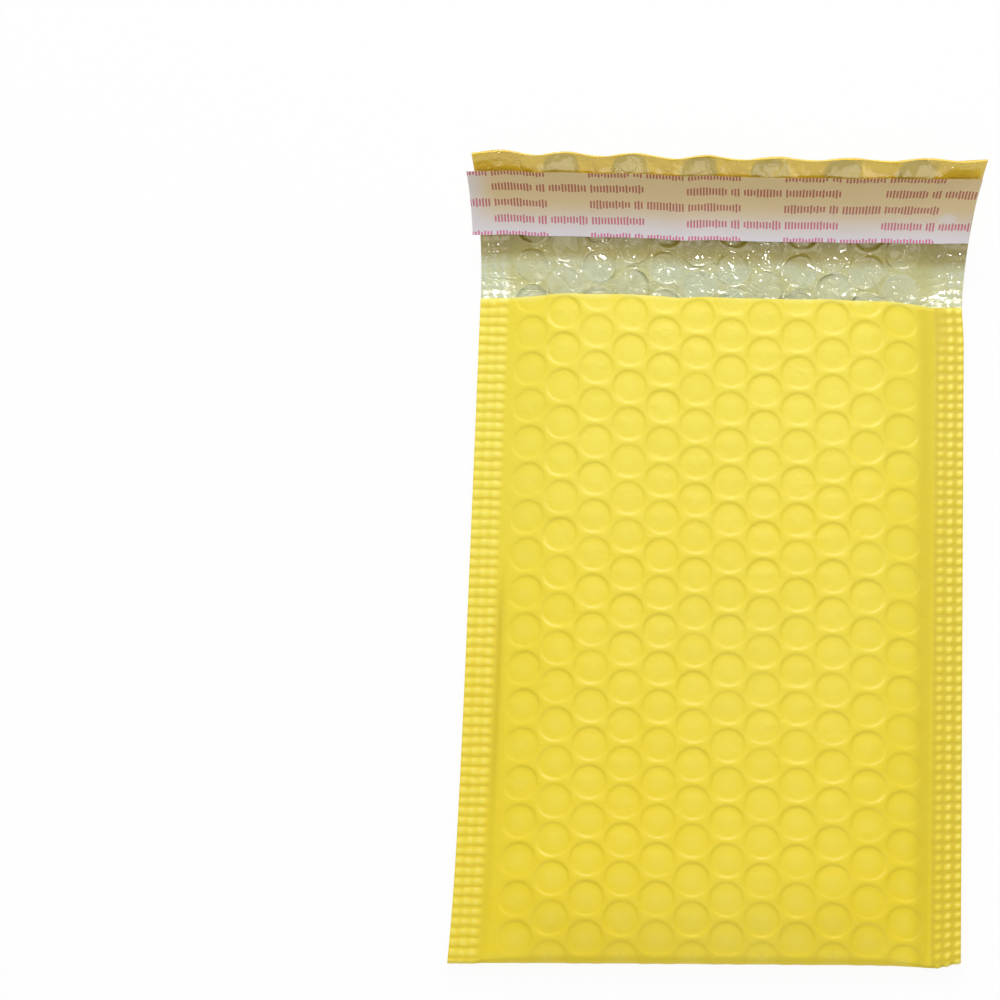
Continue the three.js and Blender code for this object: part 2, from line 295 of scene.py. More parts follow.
    def layer(self, x: Array, v: Array, depth: Array | float) -> Array:
        """Place points at a depth under the outside of the sheet.

        Args:
            x: Places across.
            v: Places along, negative on the front panel.
            depth: Distance in from the outside.

        Returns:
            Points, one row each.
        """
        x, v = np.broadcast_arrays(np.asarray(x, float), np.asarray(v, float))
        depth = np.broadcast_to(depth, x.shape)
        y = np.minimum(np.abs(v), self.panel)
        front = v < 0
        radius, centre = self.fold(x)
        side = np.where(front, 1.0, -1.0)
        flat = np.where(front, self.front_height(x, y) - depth, self.back_height(x, y) + depth)
        turn = np.arccos(ramp((radius - y) / radius))
        inner = radius - depth
        in_fold = y < radius
        z = np.where(in_fold, centre + side * inner * np.sin(turn), flat)
        place = np.stack([x, np.where(in_fold, radius - inner * np.cos(turn), y), z], -1)
        on_flap = v > self.panel
        place[on_flap] = self.curled(x, v, self.settled(x, v) + depth + self.wave(x, v))[on_flap]
        return place

    def pocket(self, x: Array, y: Array) -> tuple[Array, Array]:
        """Find the open space between the two layers of lining.

        Args:
            x: Places across.
            y: Places along from the fold.

        Returns:
            The height of its middle and half its gap.
        """
        top = self.front_height(x, y) - self.film
        floor = self.back_height(x, y) + self.film
        half = (top - floor) / 2
        full = self.thickness / 2 - self.film
        share = ramp((half - self.lining_in_seal) / (full - self.lining_in_seal))
        run = 1 - (1 - ramp((y - self.pocket_end) / self.pocket_run)) ** 2
        return (top + floor) / 2, self.pocket_gap / 2 * share * run

    def inside(self, x: Array, v: Array, relief: Array | float) -> Array:
        """Place points on the lining's inner face, pocket and flap.

        Args:
            x: Places across.
            v: Places along, negative on the front layer.
            relief: Height out of the lining's face.

        Returns:
            Points, one row each.
        """
        x, v = np.broadcast_arrays(np.asarray(x, float), np.asarray(v, float))
        relief = np.broadcast_to(relief, x.shape)
        y = np.minimum(np.abs(v), self.panel)
        mid, half = self.pocket(x, y)
        height = np.where(v < 0, mid + half - relief, mid - half + relief)
        place = np.stack([x, y, height], -1)
        floor = self.back_height(x, np.full_like(x, self.panel))
        thick = self.film + self.lining_in_seal
        thick = thick + (self.lining - self.lining_in_seal) * self.swell(x, self.back_shoulder)
        near_end = smooth(self.end - 8.0, self.end, v)
        thick = thick - self.end_thinning * self.swell(x, self.back_shoulder) * near_end
        share = ramp((v - self.panel) / self.lining_run)
        cover = (mid - half - floor) * (1 - share) + thick * share
        on_flap = v > self.panel
        offset = self.settled(x, v) + cover + relief + self.wave(x, v)
        place[on_flap] = self.curled(x, v, offset)[on_flap]
        return place


@dataclass(frozen=True)
class Lattice:
    """Staggered bubbles, each with its own small tilt and depth."""

    pitch: float = 12.0
    columns: int = 12
    first_row: float = 1.0
    lean: float = -0.015
    panel: float = 211.0
    rim: float = 5.65
    seed: int = 11

    @property
    def spacing(self) -> float:
        """Distance between columns."""
        return self.pitch * math.sqrt(3) / 2

    @property
    def step(self) -> float:
        """Half the pitch along a column."""
        return self.pitch / 2

    def shear(self, w: Array | float) -> Array:
        """Return how far the lattice is aside at w."""
        return self.lean * (np.minimum(w, self.panel) - self.panel / 2)

    def edge(self, i: float, w: Array | float) -> Array:
        """Return the x of column boundary i at w."""
        return (i - self.columns / 2) * self.spacing + self.shear(w)

    def edges(self, w: float, marks: Iterable[float]) -> list[float]:
        """Return the x of several column boundaries at w."""
        return [float(self.edge(i, w)) for i in marks]

    def fine_edges(self, w: float, parts: int = 8) -> list[float]:
        """Return the x of every column's parts at w."""
        return self.edges(w, (i / parts for i in range(parts * self.columns + 1)))

    def near(self, x: Array, w: Array) -> tuple[Array, Array, Array, Array]:
        """Find each point's bubble.

        Args:
            x: Places across.
            w: Places along the panel.

        Returns:
            Offsets from the bubble's centre, its column and its row.
        """
        u = x - self.shear(w)
        own = np.floor(u / self.spacing + self.columns / 2)
        best: tuple[Array, ...] | None = None
        for beside in (0, -1, 1):
            col = np.clip(own + beside, 0, self.columns - 1).astype(int)
            base = self.first_row + np.where(col % 2 == 0, self.step, 0.0)
            row = np.round((w - base) / self.pitch).astype(int)
            across = u - (col + 0.5 - self.columns / 2) * self.spacing
            found = (across, w - base - self.pitch * row, col, row)
            if best is None:
                best = found
                continue
            closer = np.hypot(found[0], found[1]) < np.hypot(best[0], best[1])
            best = tuple(np.where(closer, new, old) for new, old in zip(found, best))
        return best

    def chance(self, col: Array, row: Array, side: Array, kind: int) -> Array:
        """Return a fixed random number from -1 to 1 for each bubble."""
        rng = np.random.default_rng(self.seed + kind)
        return rng.uniform(-1.0, 1.0, (2, 16, 32))[side, col % 16, row % 32]


class Patchwork:
    """A mesh gathered as points (layer, x, v) that are placed all at once."""

    STEPS_PER_MM = 500
    CLOSE = 1e-4
    SAME = 1e-6
    SHARP = math.radians(58)

    def __init__(self) -> None:
        """Start with no points and no faces."""
        self.index: dict[tuple[int, int, int], int] = {}
        self.points: list[tuple[int, float, float]] = []
        self.faces: list[tuple[int, ...]] = []

    def point(self, layer: int, x: float, v: float) -> int:
        """Find a point or add it.

        Args:
            layer: Layer number of the point.
            x: Its place across.
            v: Its place along.

        Returns:
            Its number.
        """
        key = (layer, round(x * self.STEPS_PER_MM), round(v * self.STEPS_PER_MM))
        if key not in self.index:
            self.index[key] = len(self.points)
            self.points.append((layer, x, v))
        return self.index[key]

    def line(self, layer: int, xs: Iterable[float], vs: Iterable[float]) -> list[int]:
        """Return the numbers of points in a row."""
        return [self.point(layer, float(x), float(v)) for x, v in zip(xs, vs)]

    def face(self, *corners: int) -> None:
        """Add a face without its doubled corners, if three or more are left.

        Args:
            *corners: Numbers of its points in order.
        """
        kept = [c for k, c in enumerate(corners) if c != corners[k - 1]]
        if len(set(kept)) == len(kept) and len(kept) > 2:
            self.faces.append(tuple(kept))

    def zip(self, lower: Sequence[int], upper: Sequence[int], at_low: Sequence[float],
            at_high: Sequence[float]) -> None:
        """Join two lines of points that may be spaced differently.

        Args:
            lower: Numbers of the first line's points.
            upper: Numbers of the second line's points.
            at_low: Place of each point along the first line.
            at_high: Place of each point along the second line.
        """
        a = b = 0
        while a < len(lower) - 1 or b < len(upper) - 1:
            next_a = at_low[a + 1] if a < len(lower) - 1 else math.inf
            next_b = at_high[b + 1] if b < len(upper) - 1 else math.inf
            if abs(next_a - next_b) < self.SAME:
                self.face(lower[a], lower[a + 1], upper[b + 1], upper[b])
                a, b = a + 1, b + 1
            elif next_a < next_b:
                self.face(lower[a], lower[a + 1], upper[b])
                a += 1
            else:
                self.face(lower[a], upper[b + 1], upper[b])
                b += 1

    def join(self, lower: Sequence[int], upper: Sequence[int], axis: int) -> None:
        """Join two lines by their own places across (axis 1) or along (axis 2)."""
        self.zip(lower, upper, [self.points[k][axis] for k in lower], [self.points[k][axis] for k in upper])

    def where(self, layer: int, v: float, low: float = -1e9, high: float = 1e9) -> list[int]:
        """Find the points of a layer in one line across.

        Args:
            layer: Layer number of the points.
            v: Place of the line along.
            low: Least place across.
            high: Greatest place across.

        Returns:
            Their numbers in order of x.
        """
        found = [k for k, (n, x, w) in enumerate(self.points)
                 if n == layer and abs(w - v) < self.CLOSE and low - self.CLOSE <= x <= high + self.CLOSE]
        return sorted(found, key=lambda k: self.points[k][1])

    def to_object(self, name: str, placing: Callable[[int, Array, Array], Array],
                  tone: Callable[[Array, Array], Array] | None = None) -> bpy.types.Object:
        """Place all points and make a Blender object.

        Args:
            name: Name of the piece.
            placing: Turns a layer's x and v into points in millimetres.
            tone: Gives each point a value for the finish, from -1 to 1.

        Returns:
            The new object, with a "web" UV map of x and v in millimetres.
        """
        data = np.array(self.points)
        place = np.zeros((len(data), 3))
        for layer in np.unique(data[:, 0]).astype(int):
            chosen = data[:, 0] == layer
            place[chosen] = placing(layer, data[chosen, 1], data[chosen, 2])
        place[:, 1] -= ORIGIN
        mesh = bpy.data.meshes.new(name)
        mesh.from_pydata((place * MM).tolist(), [], self.faces)
        mesh.validate()
        work = bmesh.new()
        work.from_mesh(mesh)
        bmesh.ops.recalc_face_normals(work, faces=work.faces)
        work.to_mesh(mesh)
        work.free()
        if tone is not None:
            values = mesh.attributes.new("tone", "FLOAT", "POINT")
            values.data.foreach_set("value", tone(data[:, 1], data[:, 2]).astype(np.float32))
        uv = mesh.uv_layers.new(name="web")
        corners = np.zeros(len(mesh.loops), dtype=int)
        mesh.loops.foreach_get("vertex_index", corners)
        uv.data.foreach_set("uv", data[corners][:, 1:3].ravel())
        mesh.shade_smooth()
        mesh.set_sharp_from_angle(angle=self.SHARP)
        piece = bpy.data.objects.new(name, mesh)
        bpy.context.collection.objects.link(piece)
        return piece


@dataclass(frozen=True)
class BubbleSheet:
    """Fills a stretch of the sheet with one ringed patch for each bubble."""

    lattice: Lattice
    rings: tuple[float, ...] = (2.0, 3.6, 4.5, 4.85, 5.2, 5.5, 5.8)
    steps: int = 8
    ring_gap: float = 0.05

    def outline(self, part: Side) -> list[tuple[float, float]]:
        """Draw the patch's edge.

        Args:
            part: Half of the cell that is there.

        Returns:
            Its points about the bubble's centre.
        """
        wide, high, n = self.lattice.spacing / 2, self.lattice.step, self.steps // 2
        quarter = [(wide, high * k / n) for k in range(n)] + [(wide * (1 - k / n), high) for k in range(n)]
        upper = quarter + [(-x, y) for x, y in [(0.0, high)] + quarter[:0:-1]] + [(-wide, 0.0)]
        if part is Side.UPPER:
            return upper
        if part is Side.LOWER:
            return [(-x, -y) for x, y in upper]
        return upper[:-1] + [(-x, -y) for x, y in upper[:-1]]

    def patch(self, mesh: Patchwork, layer: int, col: int, centre: float, part: Side, front: bool) -> None:
        """Add one bubble's patch.

        Args:
            mesh: Mesh that takes the faces.
            layer: Layer number of the points.
            col: Column of the bubble.
            centre: Place of the bubble's centre along the panel.
            part: Half of the cell that is there.
            front: True on the front panel, where v is negative.
        """
        outline = self.outline(part)
        closed = part is Side.WHOLE
        x0 = (col + 0.5 - self.lattice.columns / 2) * self.lattice.spacing

        def spot(dx: float, dy: float) -> int:
            """Return the number of the point at an offset from the bubble's centre."""
            w = centre + dy
            return mesh.point(layer, x0 + dx + float(self.lattice.shear(w)), -w if front else w)

        loops: list[list[int]] = []
        for ring in self.rings:
            loop = []
            for dx, dy in outline:
                far = math.hypot(dx, dy)
                share = min(ring, far - self.ring_gap) / far
                loop.append(spot(dx * share, dy * share))
            loops.append(loop)
        loops.append([spot(dx, dy) for dx, dy in outline])
        middle = spot(0.0, 0.0)
        count = len(outline)
        for k in range(count if closed else count - 1):
            after = (k + 1) % count
            mesh.face(middle, loops[0][k], loops[0][after])
            for inner, outer in zip(loops, loops[1:]):
                mesh.face(inner[k], outer[k], outer[after], inner[after])

    def fill(self, mesh: Patchwork, layer: int, first: int, last: int, front: bool) -> None:
        """Add every column's patches.

        Args:
            mesh: Mesh that takes the faces.
            layer: Layer number of the points.
            first: Half row where the patches start.
            last: Half row where they end.
            front: True on the front panel.
        """
        step, base = self.lattice.step, self.lattice.first_row
        for col in range(self.lattice.columns):
            j = first
            while j < last:
                starts = (j + col) % 2 == 0
                whole = starts and j + 2 <= last
                part = Side.WHOLE if whole else Side.LOWER if starts else Side.UPPER
                self.patch(mesh, layer, col, base + step * (j + starts), part, front)
                j += 1 + whole


Socket = bpy.types.NodeSocket
Term = Socket | float | tuple[float, ...]


class Wiring:
    """Adds nodes to one node tree and wires them."""

    def __init__(self, tree: bpy.types.NodeTree) -> None:
        """Keep the tree."""
        self.tree = tree

    def node(self, kind: str, **values: object) -> bpy.types.Node:
        """Add a node.

        Args:
            kind: Blender's name for the kind of node.
            **values: Its properties or, with a leading _, its inputs.

        Returns:
            The new node.
        """
        made = self.tree.nodes.new(kind)
        for key, value in values.items():
            if key.startswith("_"):
                self.put(value, made.inputs[key[1:].replace("_", " ")])
            else:
                setattr(made, key, value)
        return made

    def put(self, value: Term, socket: Socket) -> None:
        """Link a socket to an input, or give the input a number, a colour or a vector.

        Args:
            value: What the input takes.
            socket: The input.
        """
        if isinstance(value, Socket):
            self.tree.links.new(value, socket)
        elif socket.type == "RGBA":
            socket.default_value = (*value[:3], 1.0)
        else:
            socket.default_value = value

    def math(self, kind: str, *terms: Term, clamp: bool = False) -> Socket:
        """Add a Math node.

        Args:
            kind: The operation.
            *terms: Its inputs in order.
            clamp: True to hold the result between 0 and 1.

        Returns:
            The result.
        """
        made = self.node("ShaderNodeMath", operation=kind, use_clamp=clamp)
        for term, socket in zip(terms, made.inputs):
            self.put(term, socket)
        return made.outputs[0]

    def mix(self, share: Term, low: Term, high: Term) -> Socket:
        """Blend two colours.

        Args:
            share: How much of the second colour there is.
            low: First colour.
            high: Second colour.

        Returns:
            The blend.
        """
        made = self.node("ShaderNodeMix", data_type="RGBA")
        for term, k in ((share, 0), (low, 6), (high, 7)):
            self.put(term, made.inputs[k])
        return made.outputs[2]

    def ranged(self, value: Socket, start: Sequence[float], stop: Sequence[float] = (0.0, 1.0),
               soft: bool = False) -> Socket:
        """Map one range of a value to another.

        Args:
            value: The value.
            start: Its range.
            stop: The range of the result.
            soft: True for a soft step in place of a straight one.

        Returns:
            The result, held inside its range.
        """
        made = self.node("ShaderNodeMapRange", interpolation_type="SMOOTHSTEP" if soft else "LINEAR",
                         _Value=value, _From_Min=start[0], _From_Max=start[1],
                         _To_Min=stop[0], _To_Max=stop[1])
        return made.outputs["Result"]

    def noise(self, place: Socket, scale: Term, detail: float, distortion: float = 0.0) -> Socket:
        """Add a noise texture.

        Args:
            place: Where it is sampled.
            scale: Its scale.
            detail: Its octaves.
            distortion: How much it is warped.

        Returns:
            The noise, about 0.5 in the middle.
        """
        made = self.node("ShaderNodeTexNoise", _Vector=place, _Scale=scale, _Detail=detail,
                         _Distortion=distortion)
        return made.outputs["Fac"]

    def bump(self, height: Socket, strength: float, distance: float, below: Socket | None = None) -> Socket:
        """Add a bump, over another one if there is one below.

        Args:
            height: Height of the bump.
            strength: Its strength.
            distance: Its full height in metres.
            below: Normal of the bump below.

        Returns:
            The bent normal.
        """
        made = self.node("ShaderNodeBump", _Height=height, _Strength=strength, _Distance=distance)
        if below is not None:
            self.put(below, made.inputs["Normal"])
        return made.outputs["Normal"]

    def on_object(self) -> Socket:
        """Return a point's place in the object, in metres."""
        return self.node("ShaderNodeTexCoord").outputs["Object"]

    def on_web(self) -> tuple[Socket, Socket]:
        """Find a point's place on the flat sheet.

        Returns:
            Its places across and along, in millimetres.
        """
        web = self.node("ShaderNodeUVMap", uv_map="web").outputs["UV"]
        split = self.node("ShaderNodeSeparateXYZ", _Vector=web)
        return split.outputs["X"], split.outputs["Y"]

    def tone(self) -> Socket:
        """Return the value that the mesh carries for its finish."""
        return self.node("ShaderNodeAttribute", attribute_name="tone").outputs["Fac"]

    def toned(self, tone: Socket, colour: Socket, ends: Sequence[tuple[float, Colour]]) -> Socket:
        """Lead a colour to other colours by the tone.

        Args:
            tone: The mesh's tone.
            colour: Colour where the tone is 0.
            ends: Factors of the tone, each with the colour that it leads to.

        Returns:
            The toned colour.
        """
        for factor, end in ends:
            colour = self.mix(self.math("MULTIPLY", tone, factor, clamp=True), colour, end)
        return colour


class Finish(Wiring):
    """A new material whose Principled shader is ready to be wired."""

    def __init__(self, name: str) -> None:
        """Make the material."""
        self.material = bpy.data.materials.new(name)
        self.material.use_nodes = True
        super().__init__(self.material.node_tree)

    @property
    def shader(self) -> bpy.types.Node:
        """The Principled shader."""
        return self.tree.nodes["Principled BSDF"]

    def surface(self, **values: Term) -> bpy.types.Material:
        """Set or wire the shader's inputs.

        Args:
            **values: What each input takes.

        Returns:
            The material.
        """
        for key, value in values.items():
            self.put(value, self.shader.inputs[key.replace("_", " ")])
        return self.material


class SharedEffects:
    """Node groups that more than one finish uses."""

    def __init__(self) -> None:
        """Build the groups once."""
        self.crinkle = self._crinkle()

    @staticmethod
    def _crinkle() -> bpy.types.NodeTree:
        """Build fine creases of handled film, and slow patches of tone.

        Returns:
            The group.
        """
        tree = bpy.data.node_groups.new("film_crinkle", "ShaderNodeTree")
        for name in ("Crease Scale", "Patch Scale", "Sharpness"):
            tree.interface.new_socket(name=name, in_out="INPUT", socket_type="NodeSocketFloat")
        for name in ("Height", "Patch"):
            tree.interface.new_socket(name=name, in_out="OUTPUT", socket_type="NodeSocketFloat")
        wiring = Wiring(tree)
        given = wiring.node("NodeGroupInput").outputs
        place = wiring.on_object()
        crease = wiring.noise(place, given["Crease Scale"], 3.0, 0.6)
        ridge = wiring.math("ABSOLUTE", wiring.math("SUBTRACT", crease, 0.5))
        height = wiring.math("POWER", ridge, given["Sharpness"])
        patch = wiring.noise(place, given["Patch Scale"], 2.0)
        wiring.node("NodeGroupOutput", _Height=height, _Patch=patch)
        return tree

    def crinkled(self, finish: Finish, crease: float, patch: float,
                 sharpness: float) -> tuple[Socket, Socket]:
        """Place the creases in a finish.

        Args:
            finish: The finish.
            crease: Scale of the creases.
            patch: Scale of the patches.
            sharpness: Power of the creases, small where they are sharp.

        Returns:
            Height of the creases, and the patches of tone.
        """
        made = finish.node("ShaderNodeGroup", node_tree=self.crinkle, _Crease_Scale=crease,
                           _Patch_Scale=patch, _Sharpness=sharpness)
        return made.outputs["Height"], made.outputs["Patch"]


@dataclass(frozen=True)
class FilmFinish:
    """Coloured polyethylene film with a soft sheen.

    Creases are given by their scale, the scale of the tone's patches and their
    sharpness, a bump by its strength and its full height in metres.
    """

    name: str = "yellow_film"
    light: Colour = (0.885, 0.735, 0.060)
    deep: Colour = (0.905, 0.685, 0.016)
    # Colours that the mesh's tone leads to: painted shade and painted highlight
    painted_shade: Colour = (0.58, 0.43, 0.015)
    painted_highlight: Colour = (1.0, 0.90, 0.22)
    # Range along y in metres, and the shares, of the painted light gradient
    fade_from: tuple[float, float] = (-0.12, 0.09)
    fade_to: tuple[float, float] = (-0.22, 0.55)
    streak_scale: tuple[float, float, float] = (40.0, 900.0, 40.0)
    streak: float = 0.28
    creases: tuple[float, float, float] = (260.0, 16.0, 0.6)
    bump: tuple[float, float] = (0.12, 0.0004)
    slack_noise: tuple[float, float, float] = (150.0, 1.5, 0.8)
    slack: tuple[float, float] = (0.16, 0.0012)
    roughness: tuple[float, float] = (0.39, 0.52)
    specular: float = 0.35

    def make(self, effects: SharedEffects) -> bpy.types.Material:
        """Build the material.

        Args:
            effects: Shared node groups.

        Returns:
            The material.
        """
        finish = Finish(self.name)
        height, patch = effects.crinkled(finish, *self.creases)
        place = finish.on_object()
        along = finish.node("ShaderNodeSeparateXYZ", _Vector=place).outputs["Y"]
        # Painted light: the film is painted paler towards the mouth and flap and deeper towards the fold,
        # as light falls from that side
        slow = finish.ranged(along, self.fade_from, self.fade_to, soft=True)
        stretched = finish.node("ShaderNodeMapping", _Vector=place, _Scale=self.streak_scale).outputs[0]
        faint = finish.ranged(finish.noise(stretched, 1.0, 2.0), (0.0, 1.0), (-self.streak, self.streak))
        share = finish.math("ADD", finish.math("ADD", slow, faint), patch, clamp=True)
        colour = finish.mix(share, self.deep, self.light)
        slack = finish.bump(finish.noise(place, *self.slack_noise), *self.slack)
        # The mesh's tone paints shade and highlights into the film's colour
        return finish.surface(
            Base_Color=finish.toned(finish.tone(), colour, ((-1.0, self.painted_shade), (1.0, self.painted_highlight))),
            Roughness=finish.ranged(height, (0.0, 1.0), self.roughness),
            Normal=finish.bump(height, *self.bump, slack),
            Specular_IOR_Level=self.specular,
        )


@dataclass(frozen=True)
class LiningFinish:
    """Clear bubble film over the back of the coloured film."""

    name: str = "bubble_lining"
    over_air: Colour = (0.54, 0.535, 0.265)
    clear: Colour = (0.55, 0.53, 0.16)
    cloudy: Colour = (0.60, 0.66, 0.45)
    near_end: Colour = (0.90, 0.62, 0.045)
    milky: Colour = (0.68, 0.69, 0.40)
    shadow: Colour = (0.41, 0.32, 0.028)
    gold: tuple[float, float] = (0.34, 0.66)
    creases: tuple[float, float, float] = (150.0, 60.0, 0.45)
    bump: tuple[float, float] = (0.6, 0.0009)
    roughness: float = 0.10
    coat_roughness: float = 0.03
    clouding: float = 0.8
    change: tuple[float, float] = (248.0, 253.5)
    under_liner: tuple[float, float] = (222.8, 227.6)
    shade: float = 0.87

    def make(self, effects: SharedEffects) -> bpy.types.Material:
        """Build the material.

        Args:
            effects: Shared node groups.

        Returns:
            The material.
        """
        finish = Finish(self.name)
        height, patch = effects.crinkled(finish, *self.creases)
        tone = finish.tone()
        body = finish.mix(patch, self.over_air, self.milky)
        ends = ((-self.clouding, self.cloudy), (self.clouding, self.clear))
        up = finish.on_web()[1]
        under = finish.ranged(up, self.under_liner, (0.0, self.shade), soft=True)
        body = finish.mix(under, finish.toned(tone, body, ends), self.shadow)
        golden = finish.math("MULTIPLY_ADD", tone, *self.gold, clamp=True)
        at_end = finish.math("MULTIPLY", finish.ranged(up, self.change), golden)
        return finish.surface(
            Base_Color=finish.mix(at_end, body, self.near_end),
            Normal=finish.bump(height, *self.bump),
            Roughness=self.roughness,
            Coat_Weight=1.0,
            Coat_Roughness=self.coat_roughness,
        )


@dataclass(frozen=True)
class LinerFinish:
    """Pale release strip with rows of plain dash marks."""

    name: str = "printed_liner"
    paper: tuple[Colour, Colour] = ((0.755, 0.71, 0.745), (0.695, 0.53, 0.275))
    mark: tuple[Colour, Colour] = ((0.66, 0.12, 0.26), (0.36, 0.075, 0.045))
    # Colour, place, size and strength of the painted reflection near the liner's right end
    reflection_colour: Colour = (0.72, 0.71, 0.74)
    row_pitch: float = 5.6
    period: float = 60.0
    first_block: float = 19.3
    dash: float = 0.98
    dashes: int = 48
    dash_share: float = 0.57
    shortest: float = 0.928
    longer: float = 0.638
    gaps: tuple[int, ...] = (13, 14, 17, 18, 30, 31)
    ink: float = 0.93
    # Where the painted shade on the liner's upper part starts, up and across
    shade_up: tuple[float, float] = (0.0, 13.0)
    shade_across: tuple[float, float] = (-81.0, -69.0)
    painted_reflection: tuple[float, float] = (69.5, 8.2)
    reflection_size: tuple[float, float] = (4.2, 3.0)
    reflection_strength: float = 0.75
    creases: tuple[float, float, float] = (70.0, 35.0, 0.7)
    bump: tuple[float, float] = (0.12, 0.001)
    roughness: float = 0.32

    @property
    def block(self) -> float:
        """Length of a block of dashes."""
        return self.dash * self.dashes

    def printed(self, finish: Finish, across: Socket, up: Socket) -> Socket:
        """Draw the dash marks, in blocks that stand half a period aside in every other row.

        Args:
            finish: The finish.
            across: Place across.
            up: Place up the strip.

        Returns:
            1 on a mark and 0 beside it.
        """
        calc = finish.math
        raised = calc("ADD", up, self.row_pitch / 2)
        row = calc("FLOOR", calc("DIVIDE", raised, self.row_pitch))
        in_row = calc("SUBTRACT", raised, calc("MULTIPLY", row, self.row_pitch))
        odd = calc("MODULO", row, 2.0)
        moved = calc("SUBTRACT", across, calc("MULTIPLY", odd, self.period / 2))
        moved = calc("ADD", moved, self.period * 4 - self.first_block)
        place = calc("MODULO", moved, self.period)
        count = calc("DIVIDE", place, self.dash)
        cell = finish.node("ShaderNodeCombineXYZ", _X=calc("FLOOR", count), _Y=row).outputs[0]
        chance = finish.node("ShaderNodeTexWhiteNoise", noise_dimensions="2D", _Vector=cell)
        reach = calc("MULTIPLY_ADD", chance.outputs["Value"], self.longer, self.shortest)
        off_middle = calc("ABSOLUTE", calc("SUBTRACT", in_row, self.row_pitch / 2))
        marks = calc("MULTIPLY", calc("LESS_THAN", place, self.block), calc("LESS_THAN", off_middle, reach))
        ticks = calc("LESS_THAN", calc("FRACT", count), self.dash_share)
        kept = finish.node("ShaderNodeValToRGB")
        steps = kept.color_ramp
        steps.interpolation = "CONSTANT"
        stops = [((k - 0.25) / self.dashes, n % 2) for n, k in enumerate(self.gaps)]
        steps.elements[0].color, steps.elements[1].color = (1, 1, 1, 1), (0, 0, 0, 1)
        steps.elements[1].position = stops[0][0]
        for spot, value in stops[1:]:
            steps.elements.new(spot).color = (value, value, value, 1)
        finish.put(calc("DIVIDE", place, self.block), kept.inputs[0])
        return calc("MULTIPLY", marks, calc("MULTIPLY", ticks, kept.outputs[0]))

    def make(self, effects: SharedEffects) -> bpy.types.Material:
        """Build the material.

        Args:
            effects: Shared node groups.

        Returns:
            The material.
        """
        finish = Finish(self.name)
        across, up = finish.on_web()
        height, _ = effects.crinkled(finish, *self.creases)
        # Painted shade: the upper part of the liner, which curls away from the lamps, and its marks are
        # painted darker and warmer, less so near the left end; the warm tint is partly the adhesive beneath
        painted_shade_and_tint = finish.math("MULTIPLY", finish.ranged(up, self.shade_up, soft=True),
                             finish.ranged(across, self.shade_across, soft=True))
        ink = finish.math("MULTIPLY", self.printed(finish, across, up), self.ink)
        paint = finish.mix(ink, finish.mix(painted_shade_and_tint, *self.paper), finish.mix(painted_shade_and_tint, *self.mark))
        # Painted reflection: a pale patch near the liner's right end, broken up by the creases
        far = height
        for place, middle, size in zip((across, up), self.painted_reflection, self.reflection_size):
            off = finish.math("DIVIDE", finish.math("SUBTRACT", place, middle), size)
            far = finish.math("ADD", far, finish.math("POWER", off, 2.0))
        painted_reflection = finish.ranged(far, (0.0, 1.0), (self.reflection_strength, 0.0), soft=True)
        return finish.surface(
            Base_Color=finish.mix(painted_reflection, paint, self.reflection_colour),
            Normal=finish.bump(height, *self.bump),
            Roughness=self.roughness,
        )


@dataclass(frozen=True)
class AdhesiveFinish:
    """Soft hot-melt adhesive, slightly glossy and uneven."""

    name: str = "hot_melt"
    colour: Colour = (0.80, 0.74, 0.54)
    darker: Colour = (0.72, 0.666, 0.486)
    creases: tuple[float, float, float] = (220.0, 80.0, 0.9)
    bump: tuple[float, float] = (0.4, 0.0005)
    roughness: float = 0.3

    def make(self, effects: SharedEffects) -> bpy.types.Material:
        """Build the material.

        Args:
            effects: Shared node groups.

        Returns:
            The material.
        """
        finish = Finish(self.name)
        height, patch = effects.crinkled(finish, *self.creases)
        return finish.surface(
            Base_Color=finish.mix(patch, self.colour, self.darker),
            Normal=finish.bump(height, *self.bump),
            Roughness=self.roughness,
        )


